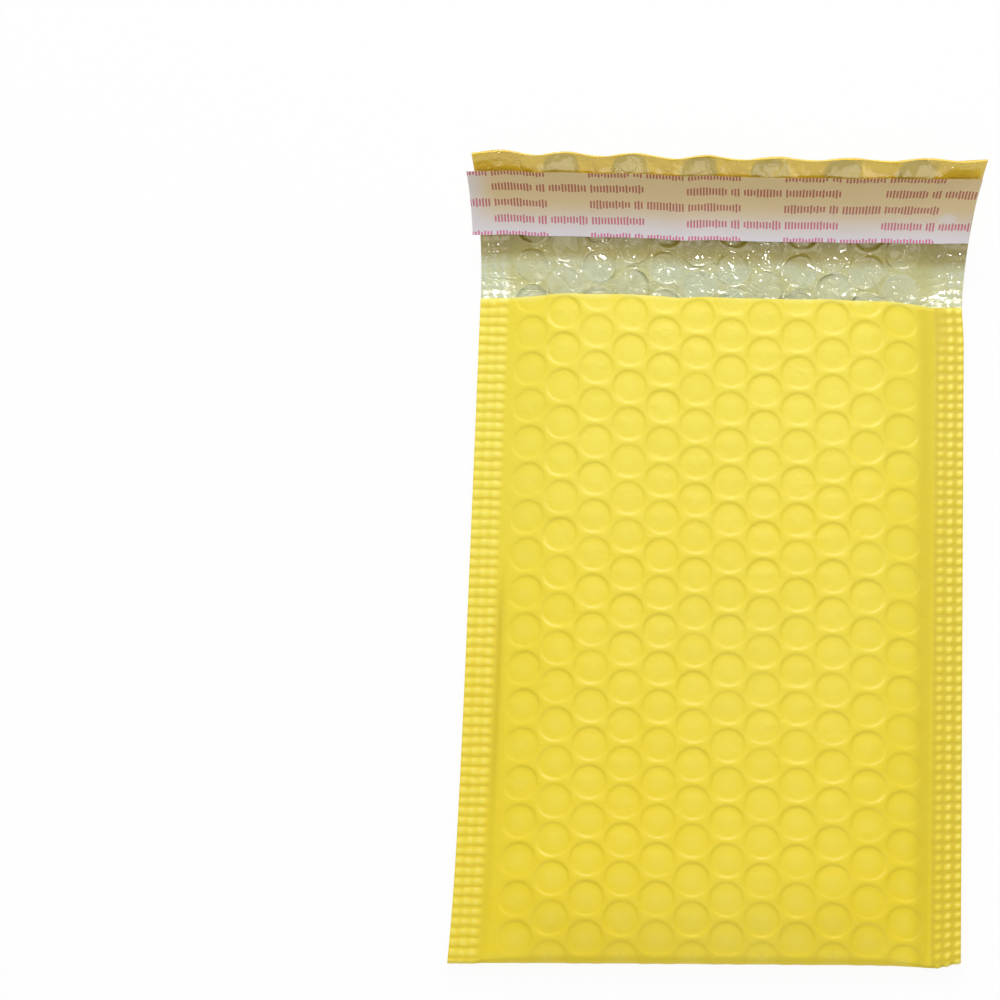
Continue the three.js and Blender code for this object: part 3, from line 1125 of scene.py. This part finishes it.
@dataclass
class PaddedSheet:
    """What film and lining share: bubbles, side seals and the face between them."""

    web: Web = field(default_factory=Web)
    lattice: Lattice = field(default_factory=Lattice)
    dish_depth: float = 0.34
    rim_width: float = 1.25
    crown_height: float = 0.13
    crown_size: tuple[float, float] = (3.2, 1.7)
    groove_inset: float = 0.9
    groove_width: float = 0.8
    groove_depth: float = 0.45
    right_groove: float = 0.35
    rib_pitch: float = 3.13
    rib_height: float = 0.42
    left_rib: float = 0.7
    dot_pitch: float = 2.95
    first_dot: float = 2.1
    row_step: float = 0.75
    seal_steps: int = 12

    @property
    def mouth_row(self) -> int:
        """Half rows of bubbles from the fold to the mouth."""
        return round((self.web.panel - self.lattice.first_row) / self.lattice.step)

    @property
    def end_row(self) -> int:
        """Half rows of bubbles from the fold to the flap's end."""
        return self.mouth_row + round(self.web.flap / self.lattice.step)

    def on_seal(self, x: Array) -> Array:
        """Return 1 on the side seals and 0 between them."""
        return smooth(self.web.seal_edge - 0.4, self.web.seal_edge + 0.5, np.abs(x))

    def room(self, x: Array, w: Array) -> Array:
        """Return from 0 to 1 how much of the padding is there under the film."""
        return self.web.swell(x, self.web.back_shoulder) * smooth(0.0, 9.0, w)

    def seal_relief(self, x: Array, w: Array, dotted: bool = False) -> Array:
        """Shape the seals, with ribs on the left and dots on the right.

        Args:
            x: Places across.
            w: Places along a panel.
            dotted: True for dots on both sides.

        Returns:
            Heights from 0 to 1.
        """
        out = np.abs(x)
        wander = 0.25 * Unevenness(2.4, 61)(x, w)
        beat = 0.5 + 0.5 * np.cos(2 * math.pi * (w + wander) / self.rib_pitch)
        beat = np.where(x < 0, 1 - (1 - beat) ** 2, beat)
        from_dot = out - self.web.seal_edge - self.first_dot
        cross = 0.5 + 0.5 * np.cos(2 * math.pi * from_dot / self.dot_pitch)
        blend = np.where((x < 0) & (not dotted), 0.62, 0.08)
        inner = smooth(self.web.seal_edge + 3.2, self.web.seal_edge + 2.2, out) * (x > 0)
        late = 1 - inner * (0.35 + 0.5 * smooth(self.web.panel - 22.0, self.web.panel - 8.0, w))
        beat = self.on_seal(x) * late * beat ** np.where(x < 0, 1.15, 1.8)
        return beat * (blend + (1 - blend) * cross ** 1.7)

    def left_groove(self, w: Array) -> Array:
        """Return how deep the groove beside the left seal is at w."""
        return smooth(128.0, 104.0, w) * (0.45 + 0.55 * smooth(40.0, 68.0, w))

    def film_depth(self, x: Array, v: Array) -> Array:
        """Return how far the film lies under its smooth outside.

        Args:
            x: Places across.
            v: Places along, negative on the front panel.

        Returns:
            Depths in millimetres, negative where the film stands proud.
        """
        w = np.abs(v)
        front = (v < 0).astype(int)
        dx, dy, col, row = self.lattice.near(x, w)
        bump = [self.lattice.chance(col, row, front, k) for k in range(4)]
        r = np.hypot(dx, dy)
        low = self.lattice.rim - self.rim_width * 0.85
        dish = 1 - smooth(low, low + self.rim_width, r)
        room = self.room(x, w)
        depth = self.dish_depth * (1 + 0.16 * bump[0]) * dish
        wide, high = self.crown_size
        crown = np.exp(-((dx + 0.8 * bump[1]) / wide) ** 2 - ((dy - 0.6) / high) ** 2)
        depth -= self.crown_height * (1 + 0.8 * bump[3]) * crown
        depth += dish * (0.016 * bump[1] * dx + 0.02 * bump[2] * dy)
        depth *= 0.35 + 0.65 * room
        depth *= np.abs(x) < self.web.seal_edge - 0.3
        calm = room * smooth(1.0, 12.0, self.web.seal_edge - np.abs(x))
        lying = (v > 0) & (v < self.web.panel)
        uneven = 0.22 * Unevenness(34.0, 5)(x, v) + 0.05 * Unevenness(9.0, 6)(x, v)
        depth -= calm * (uneven - 0.27 * lying)
        ribs = np.where(x < 0, self.left_rib, 1.0) * self.rib_height * self.seal_relief(x, w)
        depth -= ribs * (w < self.web.panel + 40)
        groove = np.exp(-((np.abs(x) - self.web.seal_edge + self.groove_inset) / self.groove_width) ** 2)
        strength = np.where(x < 0, self.left_groove(w), self.right_groove)
        return depth + self.groove_depth * groove * strength * front

    def core_depth(self, x: Array, v: Array) -> Array:
        """Find the hidden face that film and lining share.

        Args:
            x: Places across.
            v: Places along, negative on the front panel.

        Returns:
            Its depth under the film's smooth outside.
        """
        web = self.web
        edge = np.minimum(np.abs(v + web.panel), np.abs(v - web.end))
        room = self.room(x, np.abs(v)) * smooth(web.end, web.end - 9.0, v)
        deep = web.film + (web.core - web.film) * room
        deep = deep + 0.2 * smooth(web.seal_edge - 2.0, web.seal_edge, np.abs(x)) * (v < web.panel + 1.0)
        return np.where(edge < 0.5, self.film_depth(x, v) + web.lip, deep)

    def sides(self, mesh: Patchwork, layer: int, rows: Array, sheet: BubbleSheet,
              front: bool) -> dict[int, list[int]]:
        """Add the shoulders and seals beside the bubbles.

        Args:
            mesh: Mesh that takes the faces.
            layer: Layer number of the points.
            rows: Places along, away from the fold.
            sheet: Bubbles that the shoulders join.
            front: True on the front panel.

        Returns:
            The outermost line of each side.
        """
        sign = -1.0 if front else 1.0
        coarse = spaced(rows[0], rows[-1], self.lattice.pitch / sheet.steps)
        rim: dict[int, list[int]] = {}
        for side in (-1, 1):
            col = 0 if side < 0 else self.lattice.columns
            inner, outer = self.lattice.edge(col, rows), side * self.web.seal_edge
            across = [inner + (outer - inner) * share for share in (0.35, 0.65, 0.85)]
            for k in range(self.seal_steps + 1):
                across.append(np.full(len(rows), outer + side * self.web.seal * k / self.seal_steps))
            last, places = mesh.line(layer, self.lattice.edge(col, coarse), sign * coarse), coarse
            for xs in across:
                line = mesh.line(layer, xs, sign * rows)
                mesh.zip(last, line, places, rows)
                last, places = line, rows
            rim[side] = last
        return rim

    def shared_lines(self, mesh: Patchwork, layer: int) -> list[list[int]]:
        """Add the face between film and lining.

        Args:
            mesh: Mesh that takes the faces.
            layer: Layer number of the points.

        Returns:
            Its lines across, from the front's mouth round the fold to the flap's end.
        """
        web, cells = self.web, self.lattice
        few = (0, 1, 2, 4, 6, 8, 10, 11, 12)
        front = [web.panel, web.panel - 1.2, 180, 150, 120, 90, 60, 45, 37, 31, 25, 19, 13, 7, 4, 2, 1, 0.4]
        back = [0.4, 1, 2, 4, 7, 13, 19, 25, 31, 60, 90, 120, 150, 180, web.panel]
        flap = [*spaced(web.panel + 3.0, web.end - 1.0, 3.0), web.end]
        lines = []
        for v in [-w for w in front] + [0.0] + back + flap:
            w = max(abs(v), cells.first_row)
            at_end = v > web.end - 5 or v < 3 - web.panel
            inner = cells.fine_edges(w) if at_end else cells.edges(w, few)
            xs = [-web.half, -web.seal_edge, *inner, web.seal_edge, web.half]
            lines.append(mesh.line(layer, xs, [v] * len(xs)))
        for low, high in zip(lines, lines[1:]):
            mesh.join(low, high, 1)
        return lines


@dataclass
class Film(PaddedSheet):
    """The coloured film, one folded sheet from the front's mouth to the flap's end."""

    back_row_step: float = 1.5

    def tone(self, x: Array, v: Array) -> Array:
        """Choose where shade and highlights are painted on the film.

        Args:
            x: Places across.
            v: Places along, negative on the front panel.

        Returns:
            -1 for painted shade, 1 for painted highlight.
        """
        web, w = self.web, np.abs(v)
        dx, dy, _, _ = self.lattice.near(x, w)
        r = np.hypot(dx, dy)
        inside = smooth(web.seal_edge, web.seal_edge - 3.0, np.abs(x))
        # Painted highlight in each bubble's middle and painted shade in a ring at its rim
        tone = inside * (0.16 * np.exp(-(r / 2.6) ** 2) - 0.10 * np.exp(-((r - 5.0) / 0.5) ** 2))
        # On the seals the raised ribs and dots are painted paler and the hollows between them darker:
        # painted highlight and painted shade
        raised = self.seal_relief(x, w)
        tone += self.on_seal(x) * np.where(x < 0, 1.15 * raised - 0.58, 1.9 * raised - 0.68)
        # Painted shade in the groove beside each seal
        groove = np.exp(-((np.abs(x) - web.seal_edge + self.groove_inset) / 1.1) ** 2)
        tone -= groove * np.where(x < 0, 0.5 * self.left_groove(w), 0.15)
        # Painted shade on the front's right shoulder, which slopes away from the light
        band = np.exp(-((x - 62.6) / 1.9) ** 2) * (v < 0)
        # Painted highlight along the mouth's cut edge, and painted shade along the flap's cut end, varying
        # with its scallops
        painted_edge_light = smooth(1.6, 0.2, np.abs(v + web.panel)) * (0.5 + 0.5 * Unevenness(5.0, 62)(x, v * 0))
        end = smooth(1.4, 0.2, np.abs(v - web.end))
        painted_edge_light = painted_edge_light - end * (0.6 - 0.35 * web.wave(x, v) / web.flap_wave)
        return np.clip(tone - 0.32 * band + painted_edge_light, -1.0, 1.0)

    def build(self) -> bpy.types.Object:
        """Build the coloured film as one folded sheet.

        Returns:
            The film.
        """
        web, cells = self.web, self.lattice
        mesh = Patchwork()
        sheet = BubbleSheet(cells)
        back_sheet = BubbleSheet(cells, rings=(3.0, 4.6, 5.2, 5.8), steps=6)
        sheet.fill(mesh, 0, 0, self.mouth_row, True)
        back_sheet.fill(mesh, 0, 0, self.end_row, False)
        front_rim = self.sides(mesh, 0, spaced(cells.first_row, web.panel, self.row_step), sheet, True)
        back_rows = spaced(cells.first_row, web.end, self.back_row_step)
        back_rim = self.sides(mesh, 0, back_rows, back_sheet, False)
        top, bottom = mesh.where(0, -cells.first_row), mesh.where(0, cells.first_row)
        across = np.array([mesh.points[k][1] for k in top])
        fold = [top]
        for v in (-0.7, -0.45, -0.22, -0.07, 0.0, 0.07, 0.22, 0.45, 0.7):
            fold.append(mesh.line(0, across, [v] * len(across)))
        fold.append(bottom)
        for low, high in zip(fold, fold[1:]):
            mesh.join(low, high, 1)
        shared = self.shared_lines(mesh, 1)
        mesh.join(mesh.where(0, -web.panel), shared[0], 1)
        mesh.join(mesh.where(0, web.end), shared[-1], 1)
        for side, spot in ((-1, 0), (1, -1)):
            outer = front_rim[side][::-1] + [line[spot] for line in fold[1:-1]] + back_rim[side]
            mesh.join(outer, [line[spot] for line in shared], 2)

        def placing(layer: int, x: Array, v: Array) -> Array:
            """Place the outside (layer 0) or the face on the lining (layer 1)."""
            depth = self.film_depth(x, v) if layer == 0 else self.core_depth(x, v)
            return web.warp(web.layer(x, v, depth))

        return mesh.to_object("yellow_film_sheet", placing, self.tone)

    def dress(self, piece: bpy.types.Object, effects: SharedEffects) -> None:
        """Give the film its material and tie it to its solid.

        Args:
            piece: The piece.
            effects: Shared node groups.
        """
        piece.data.materials.append(FilmFinish().make(effects))
        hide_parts("outer_film")
        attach(piece, "root")


@dataclass
class Lining(PaddedSheet):
    """The bubble lining, a pouch whose back runs on over the flap."""

    def off_seal(self, x: Array) -> Array:
        """Return 1 between the lining's side seals and 0 on them."""
        return smooth(self.web.seal_edge + 0.2, self.web.seal_edge - 1.5, np.abs(x))

    def bubble(self, x: Array, v: Array) -> tuple[Array, ...]:
        """Find each point's bubble in the lining; the last ones sit under the flap's crests.

        Args:
            x: Places across.
            v: Places along, negative on the front layer.

        Returns:
            Offsets from the bubble's centre, column, row, and a share that rises at the flap's end.
        """
        dx, dy, col, row = self.lattice.near(x, np.abs(v))
        late = smooth(self.web.end - 13.0, self.web.end - 8.0, v)
        return dx / (1 + 0.2 * late), dy - 2.6 * late * (col % 2), col, row, late

    def relief(self, x: Array, v: Array) -> Array:
        """Shape the lining's bubbles and creases.

        Args:
            x: Places across.
            v: Places along, negative on the front layer.

        Returns:
            Heights out of the lining's face.
        """
        w = np.abs(v)
        dx, dy, col, row, late = self.bubble(x, v)
        side = (v < 0).astype(int)
        lean = [self.lattice.chance(col, row, side, 20 + k) for k in range(2)]
        r = np.hypot(dx, dy)
        kept = 1 - late * (col % 2 == 0)
        disc = kept * (1 - smooth(4.4, 5.2, r))
        ridge = kept * np.exp(-((r - 5.1) / 0.32) ** 2)
        crease = Unevenness(2.6, 31)(x, v) * 0.6 + Unevenness(1.3, 32)(x, v) * 0.4
        fold = 1 - ramp(np.abs(Unevenness(5.0, 33)(x, v)) / 0.2)
        strong = ramp(0.5 + 1.3 * Unevenness(4.0, 34)(x, v))
        relief = -0.07 * disc + (0.03 + 0.22 * strong ** 1.4) * ridge
        turn = np.arctan2(dy, dx)
        for kind, radius, height in ((28, 5.15, 0.40), (29, 5.75, 0.36)):
            middle = math.pi * self.lattice.chance(col, row, side, kind)
            arc = ramp(2.2 * np.cos(turn - middle) - 1.0)
            relief += kept * height * arc * np.exp(-((r - radius) / 0.3) ** 2)
        at_mouth = np.exp(-((v - self.web.panel - 3.9) / 0.45) ** 2)
        relief += 0.35 * ramp(0.3 + 1.6 * Unevenness(6.5, 37)(x, v * 0)) * at_mouth
        relief += disc * (0.05 * lean[0] * dx + 0.05 * lean[1] * dy) + 0.22 * crease + 0.32 * fold
        return relief * self.off_seal(x) + 0.40 * self.seal_relief(x, w, dotted=True)

    def tone(self, x: Array, v: Array) -> Array:
        """Choose where the lining is clear or milky.

        Args:
            x: Places across.
            v: Places along, negative on the front layer.

        Returns:
            1 where it is clear and yellow, -1 where bubbles make it milky.
        """
        dx, dy, col, row, late = self.bubble(x, v)
        r = np.hypot(dx, dy)
        side = (v < 0).astype(int)
        cloud = 0.5 + 0.5 * self.lattice.chance(col, row, side, 27)
        inside = self.off_seal(x)
        between = smooth(5.3, 6.1, r) - (0.35 + 0.6 * cloud) * smooth(4.9, 3.9, r)
        outline = np.exp(-((r - 4.95) / 0.28) ** 2)
        dots = (1 - inside) * (0.35 - 2.2 * self.seal_relief(x, np.abs(v), dotted=True))
        stain = 0.55 * Unevenness(7.0, 35)(x, v) + 0.3 * Unevenness(2.2, 36)(x, v)
        lobes = np.where(col % 2 == 1, 1 - 1.7 * smooth(5.9, 4.3, r), 1.0)
        tone = inside * (0.65 * between - 0.4 * outline) + stain + dots
        return np.clip(tone * (1 - late) + (lobes + 0.3 * stain) * late, -1.0, 1.0)

    def build(self) -> bpy.types.Object:
        """Build the bubble lining as one pouch with its flap layer.

        Returns:
            The lining.
        """
        web, cells = self.web, self.lattice
        mesh = Patchwork()
        shared = self.shared_lines(mesh, 0)
        sheet = BubbleSheet(cells)
        sheet.fill(mesh, 1, self.mouth_row, self.end_row, False)
        margins = self.sides(mesh, 1, spaced(web.panel, web.end, self.row_step), sheet, False)
        start = [web.pocket_end, 9, 12, 16, 21, 27, 34]
        depths = [*start, *spaced(40, 150, 4.0), *spaced(151.5, web.panel, 1.5)]
        lines: list[list[int]] = []
        for sign in (1, -1):
            lines = []
            for w in depths:
                xs = [-web.seal_edge, *cells.fine_edges(w), web.seal_edge]
                along = w if w == depths[0] else sign * w
                lines.append(mesh.line(1, xs, [w, *[along] * (len(xs) - 2), w]))
            if sign > 0:
                lines[-1] = mesh.where(1, web.panel, -web.seal_edge, web.seal_edge)
            for low, high in zip(lines, lines[1:]):
                mesh.join(low, high, 1)
        seal_row = mesh.where(1, web.panel)
        left = [k for k in seal_row if mesh.points[k][1] < -web.seal_edge - mesh.CLOSE]
        right = [k for k in seal_row if mesh.points[k][1] > web.seal_edge + mesh.CLOSE]
        # The loop ends on the front layer, with its line at the mouth
        mesh.join(shared[0], [*left, *lines[-1], *right], 1)
        mesh.join(shared[-1], mesh.where(1, web.end), 1)
        turn = next(k for k, line in enumerate(shared) if mesh.points[line[0]][2] == 0.0)
        lip = next(k for k, line in enumerate(shared) if mesh.points[line[0]][2] == web.panel)
        for side, spot in ((-1, 0), (1, -1)):
            front = [line[spot] for line in shared[:turn + 1]][::-1]
            back = [line[spot] for line in shared[turn:lip + 1]] + [margins[side][0]]
            at_front = [abs(mesh.points[k][2]) for k in front]
            # The back ends with two points at the mouth, and the front's last one joins both
            at_front[-1] += 0.1
            mesh.zip(back, front, [abs(mesh.points[k][2]) for k in back], at_front)
            mesh.join([line[spot] for line in shared[lip:]], margins[side], 2)

        def placing(layer: int, x: Array, v: Array) -> Array:
            """Place the face on the film or the inner face.

            Args:
                layer: 0 on the film, 1 inside.
                x: Places across.
                v: Places along.

            Returns:
                Points, one row each.
            """
            if layer == 1:
                fade = smooth(web.pocket_end, 20.0, np.abs(v))
                return web.warp(web.inside(x, v, self.relief(x, v) * fade))
            return web.warp(web.layer(x, v, self.core_depth(x, v)))

        return mesh.to_object("bubble_lining_sheet", placing, self.tone)

    def dress(self, piece: bpy.types.Object, effects: SharedEffects) -> None:
        """Give the lining its material and tie it to its solid.

        Args:
            piece: The piece.
            effects: Shared node groups.
        """
        piece.data.materials.append(LiningFinish().make(effects))
        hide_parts("bubble_lining")
        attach(piece, "root")


@dataclass
class FlapStrip:
    """A thin closed strip on the inside of the flap."""

    web: Web = field(default_factory=Web)
    step: float = 0.75

    def strip(self, name: str, rows: Array, cols: Array, thickness: float,
              placing: Callable[[Array, Array, Array], Array]) -> bpy.types.Object:
        """Build a thin closed strip on the flap.

        Args:
            name: Name of the piece.
            rows: Places up the strip.
            cols: Places across.
            thickness: Thickness of the strip.
            placing: Turns x, the place up the strip and a lift into points.

        Returns:
            The new object.
        """
        mesh = Patchwork()
        layers = []
        for layer in (0, 1):
            lines = [mesh.line(layer, cols, [r] * len(cols)) for r in rows]
            for low, high in zip(lines, lines[1:]):
                mesh.join(low, high, 1)
            layers.append(lines)
        for end in (0, -1):
            mesh.join(layers[0][end], layers[1][end], 1)
            mesh.join([line[end] for line in layers[0]], [line[end] for line in layers[1]], 2)
        return mesh.to_object(name, lambda n, x, s: placing(x, s, np.full_like(x, thickness * n)))


@dataclass
class Liner(FlapStrip):
    """The release liner, curled with the flap and loose at its lower edge."""

    height: float = 22.5
    ends: tuple[float, float] = (-77.9, 76.8)
    thickness: float = 0.12
    start: float = 21.3
    rate: float = 0.965
    gap: float = 1.0
    bend: tuple[float, float] = (-1.7, 4.1)

    def build(self) -> bpy.types.Object:
        """Build the release liner as a thin curled strip.

        Returns:
            The liner.
        """
        web, high = self.web, self.height

        def placing(x: Array, s: Array, raised: Array) -> Array:
            """Place points on the liner.

            Args:
                x: Places across.
                s: Places up the strip.
                raised: Heights over its underside.

            Returns:
                Points, one row each.
            """
            free = 1 - s / high
            lift = 0.9 * free ** 2 + 0.18 * Unevenness(17.0, 41)(x, s) + 0.08 * Unevenness(6.0, 42)(x, s)
            lift += 0.5 * free ** 3 * Unevenness(26.0, 43)(x, s * 0)
            bend = np.where(x < 0, *self.bend) * (s / high) ** 1.4 * smooth(0.0, 77.0, np.abs(x))
            lift += 1.1 * smooth(68.0, 77.0, x) * np.sin(math.pi * ramp(s / high))
            v = web.panel + self.start + s * self.rate
            place = web.warp(web.curled(x, v, web.film + web.lining + self.gap + lift + raised))
            place[:, 0] = x + bend
            return place

        return self.strip("release_liner_strip", spaced(0.0, high, self.step),
                          spaced(*self.ends, 1.2), self.thickness, placing)

    def dress(self, piece: bpy.types.Object, effects: SharedEffects) -> None:
        """Give the liner its material and tie it to its solid.

        Args:
            piece: The piece.
            effects: Shared node groups.
        """
        piece.data.materials.append(LinerFinish().make(effects))
        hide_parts("release_liner")
        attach(piece, "root")


@dataclass
class Adhesive(FlapStrip):
    """The band of adhesive under the liner."""

    height: float = 15.0
    half: float = 71.0
    thickness: float = 0.28
    start: float = 25.0
    gap: float = 0.42

    def build(self) -> bpy.types.Object:
        """Build the band of adhesive under the liner.

        Returns:
            The band.
        """
        web = self.web
        on_lining = web.film + web.lining + self.gap

        def placing(x: Array, s: Array, raised: Array) -> Array:
            """Place points on the band, whose upper face is uneven."""
            offset = on_lining + raised * (1 + 0.25 * Unevenness(3.0, 51)(x, s))
            return web.warp(web.curled(x, web.panel + self.start + s, offset))

        return self.strip("adhesive_band", spaced(0.0, self.height, self.step),
                          spaced(-self.half, self.half, 2 * self.step), self.thickness, placing)

    def dress(self, piece: bpy.types.Object, effects: SharedEffects) -> None:
        """Give the adhesive its material and tie it to its solid.

        Args:
            piece: The piece.
            effects: Shared node groups.
        """
        piece.data.materials.append(AdhesiveFinish().make(effects))
        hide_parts("adhesive_strip")
        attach(piece, "root")


@dataclass(frozen=True)
class Studio:
    """Floor, lamps, sky and camera.

    Angles are in degrees. The camera's target, from the bottom fold, and its distance
    are in millimetres, and floor and lamps are in metres.
    """

    azimuth: float = 13.72
    elevation: float = 71.11
    roll: float = -12.22
    target: tuple[float, float, float] = (-66.33, 145.69, 5.0)
    distance: float = 1535.2
    focal_px: float = 4978.5
    picture_px: float = 1000.0
    sensor: float = 36.0
    floor_half: float = 6.0
    floor_gap: float = 0.0003
    floor_white: float = 0.94
    fill: float = 0.42

    def camera(self) -> None:
        """Place the camera at the photograph's angle."""
        az, el, roll = (math.radians(a) for a in (self.azimuth, self.elevation, self.roll))
        back = np.array([math.sin(az) * math.cos(el), -math.cos(az) * math.cos(el), math.sin(el)])
        right = np.array([math.cos(az), math.sin(az), 0.0])
        up = np.cross(back, right)
        turned = math.cos(roll) * right + math.sin(roll) * up
        up = math.cos(roll) * up - math.sin(roll) * right
        place = (np.array(self.target) - (0.0, ORIGIN, 0.0) + back * self.distance) * MM
        lens = bpy.data.cameras.new("camera")
        lens.sensor_width = self.sensor
        lens.lens = self.focal_px / self.picture_px * self.sensor
        lens.clip_end = 50.0
        camera = bpy.data.objects.new("camera", lens)
        matrix = np.eye(4)
        matrix[:3] = np.stack([turned, up, back, place], 1)
        camera.matrix_world = Matrix(matrix.tolist())
        bpy.context.collection.objects.link(camera)
        bpy.context.scene.camera = camera

    def lamp(self, name: str, place: tuple[float, float, float], size: float, power: float) -> None:
        """Hang one soft square lamp that faces the envelope.

        Args:
            name: Name of the lamp.
            place: Where it hangs.
            size: Length of its side.
            power: Its power in watts.
        """
        data = bpy.data.lights.new(name, "AREA")
        data.shape = "SQUARE"
        data.size, data.energy = size, power
        lamp = bpy.data.objects.new(name, data)
        bpy.context.collection.objects.link(lamp)
        lamp.location = place
        lamp.rotation_euler = (-lamp.location).to_track_quat("-Z", "Y").to_euler()

    @staticmethod
    def white_for_camera(wiring: Wiring) -> Socket:
        """Find the rays that see the plain white background.

        Args:
            wiring: Node tree that takes the mask.

        Returns:
            1 for those rays and 0 for the rest.
        """
        path = wiring.node("ShaderNodeLightPath").outputs
        mask = path["Is Camera Ray"]
        for ray in ("Is Glossy Ray", "Is Transmission Ray"):
            mask = wiring.math("MAXIMUM", mask, path[ray])
        return mask

    def sky(self) -> None:
        """Give the world a soft fill, white to the camera."""
        world = bpy.data.worlds.new("studio")
        world.use_nodes = True
        bpy.context.scene.world = world
        wiring = Wiring(world.node_tree)
        back = wiring.tree.nodes["Background"].inputs
        strength = wiring.ranged(self.white_for_camera(wiring), (0.0, 1.0), (self.fill, 1.0))
        wiring.put(strength, back["Strength"])
        wiring.put((1.0, 1.0, 1.0), back["Color"])

    def floor(self) -> None:
        """Lay a white floor that keeps the envelope's shadow."""
        mesh = bpy.data.meshes.new("floor")
        r = self.floor_half
        mesh.from_pydata([(-r, -r, 0), (r, -r, 0), (r, r, 0), (-r, r, 0)], [], [(0, 1, 2, 3)])
        floor = bpy.data.objects.new("floor", mesh)
        bpy.context.collection.objects.link(floor)
        floor.location.z = -self.floor_gap
        finish = Finish("white_floor")
        mesh.materials.append(finish.surface(Base_Color=(0.9, 0.9, 0.9), Roughness=0.8))
        glow = finish.node("ShaderNodeEmission", _Strength=1.0).outputs[0]
        share = finish.math("MULTIPLY", self.white_for_camera(finish), self.floor_white)
        mix = finish.node("ShaderNodeMixShader")
        for socket, start in zip(mix.inputs, (share, finish.shader.outputs[0], glow)):
            finish.put(start, socket)
        finish.put(mix.outputs[0], finish.tree.nodes["Material Output"].inputs["Surface"])

    def prepare(self) -> None:
        """Set up everything round the envelope."""
        bpy.context.scene.view_settings.view_transform = "Standard"
        self.camera()
        self.sky()
        self.floor()
        self.lamp("top_lamp", (-0.06, 0.95, 0.70), 0.50, 7.6)
        self.lamp("front_lamp", (0.1, -0.9, 1.2), 0.9, 2.9)
        self.lamp("glint_lamp", (0.05, 0.62, 1.0), 0.07, 1.3)
        self.lamp("low_glint_lamp", (-0.10, -0.12, 1.25), 0.045, 0.8)
        self.lamp("edge_glint_lamp", (-0.08, -1.25, 0.10), 0.04, 0.2)


def main() -> None:
    """Build the scene and log each piece's triangles."""
    logging.basicConfig(level=logging.INFO, format="%(message)s")
    Studio().prepare()
    effects = SharedEffects()
    for part in (Film(), Lining(), Liner(), Adhesive()):
        piece = part.build()
        part.dress(piece, effects)
        LOG.info("%s: %d triangles", piece.name, sum(len(p.vertices) - 2 for p in piece.data.polygons))


if __name__ == "__main__":
    main()
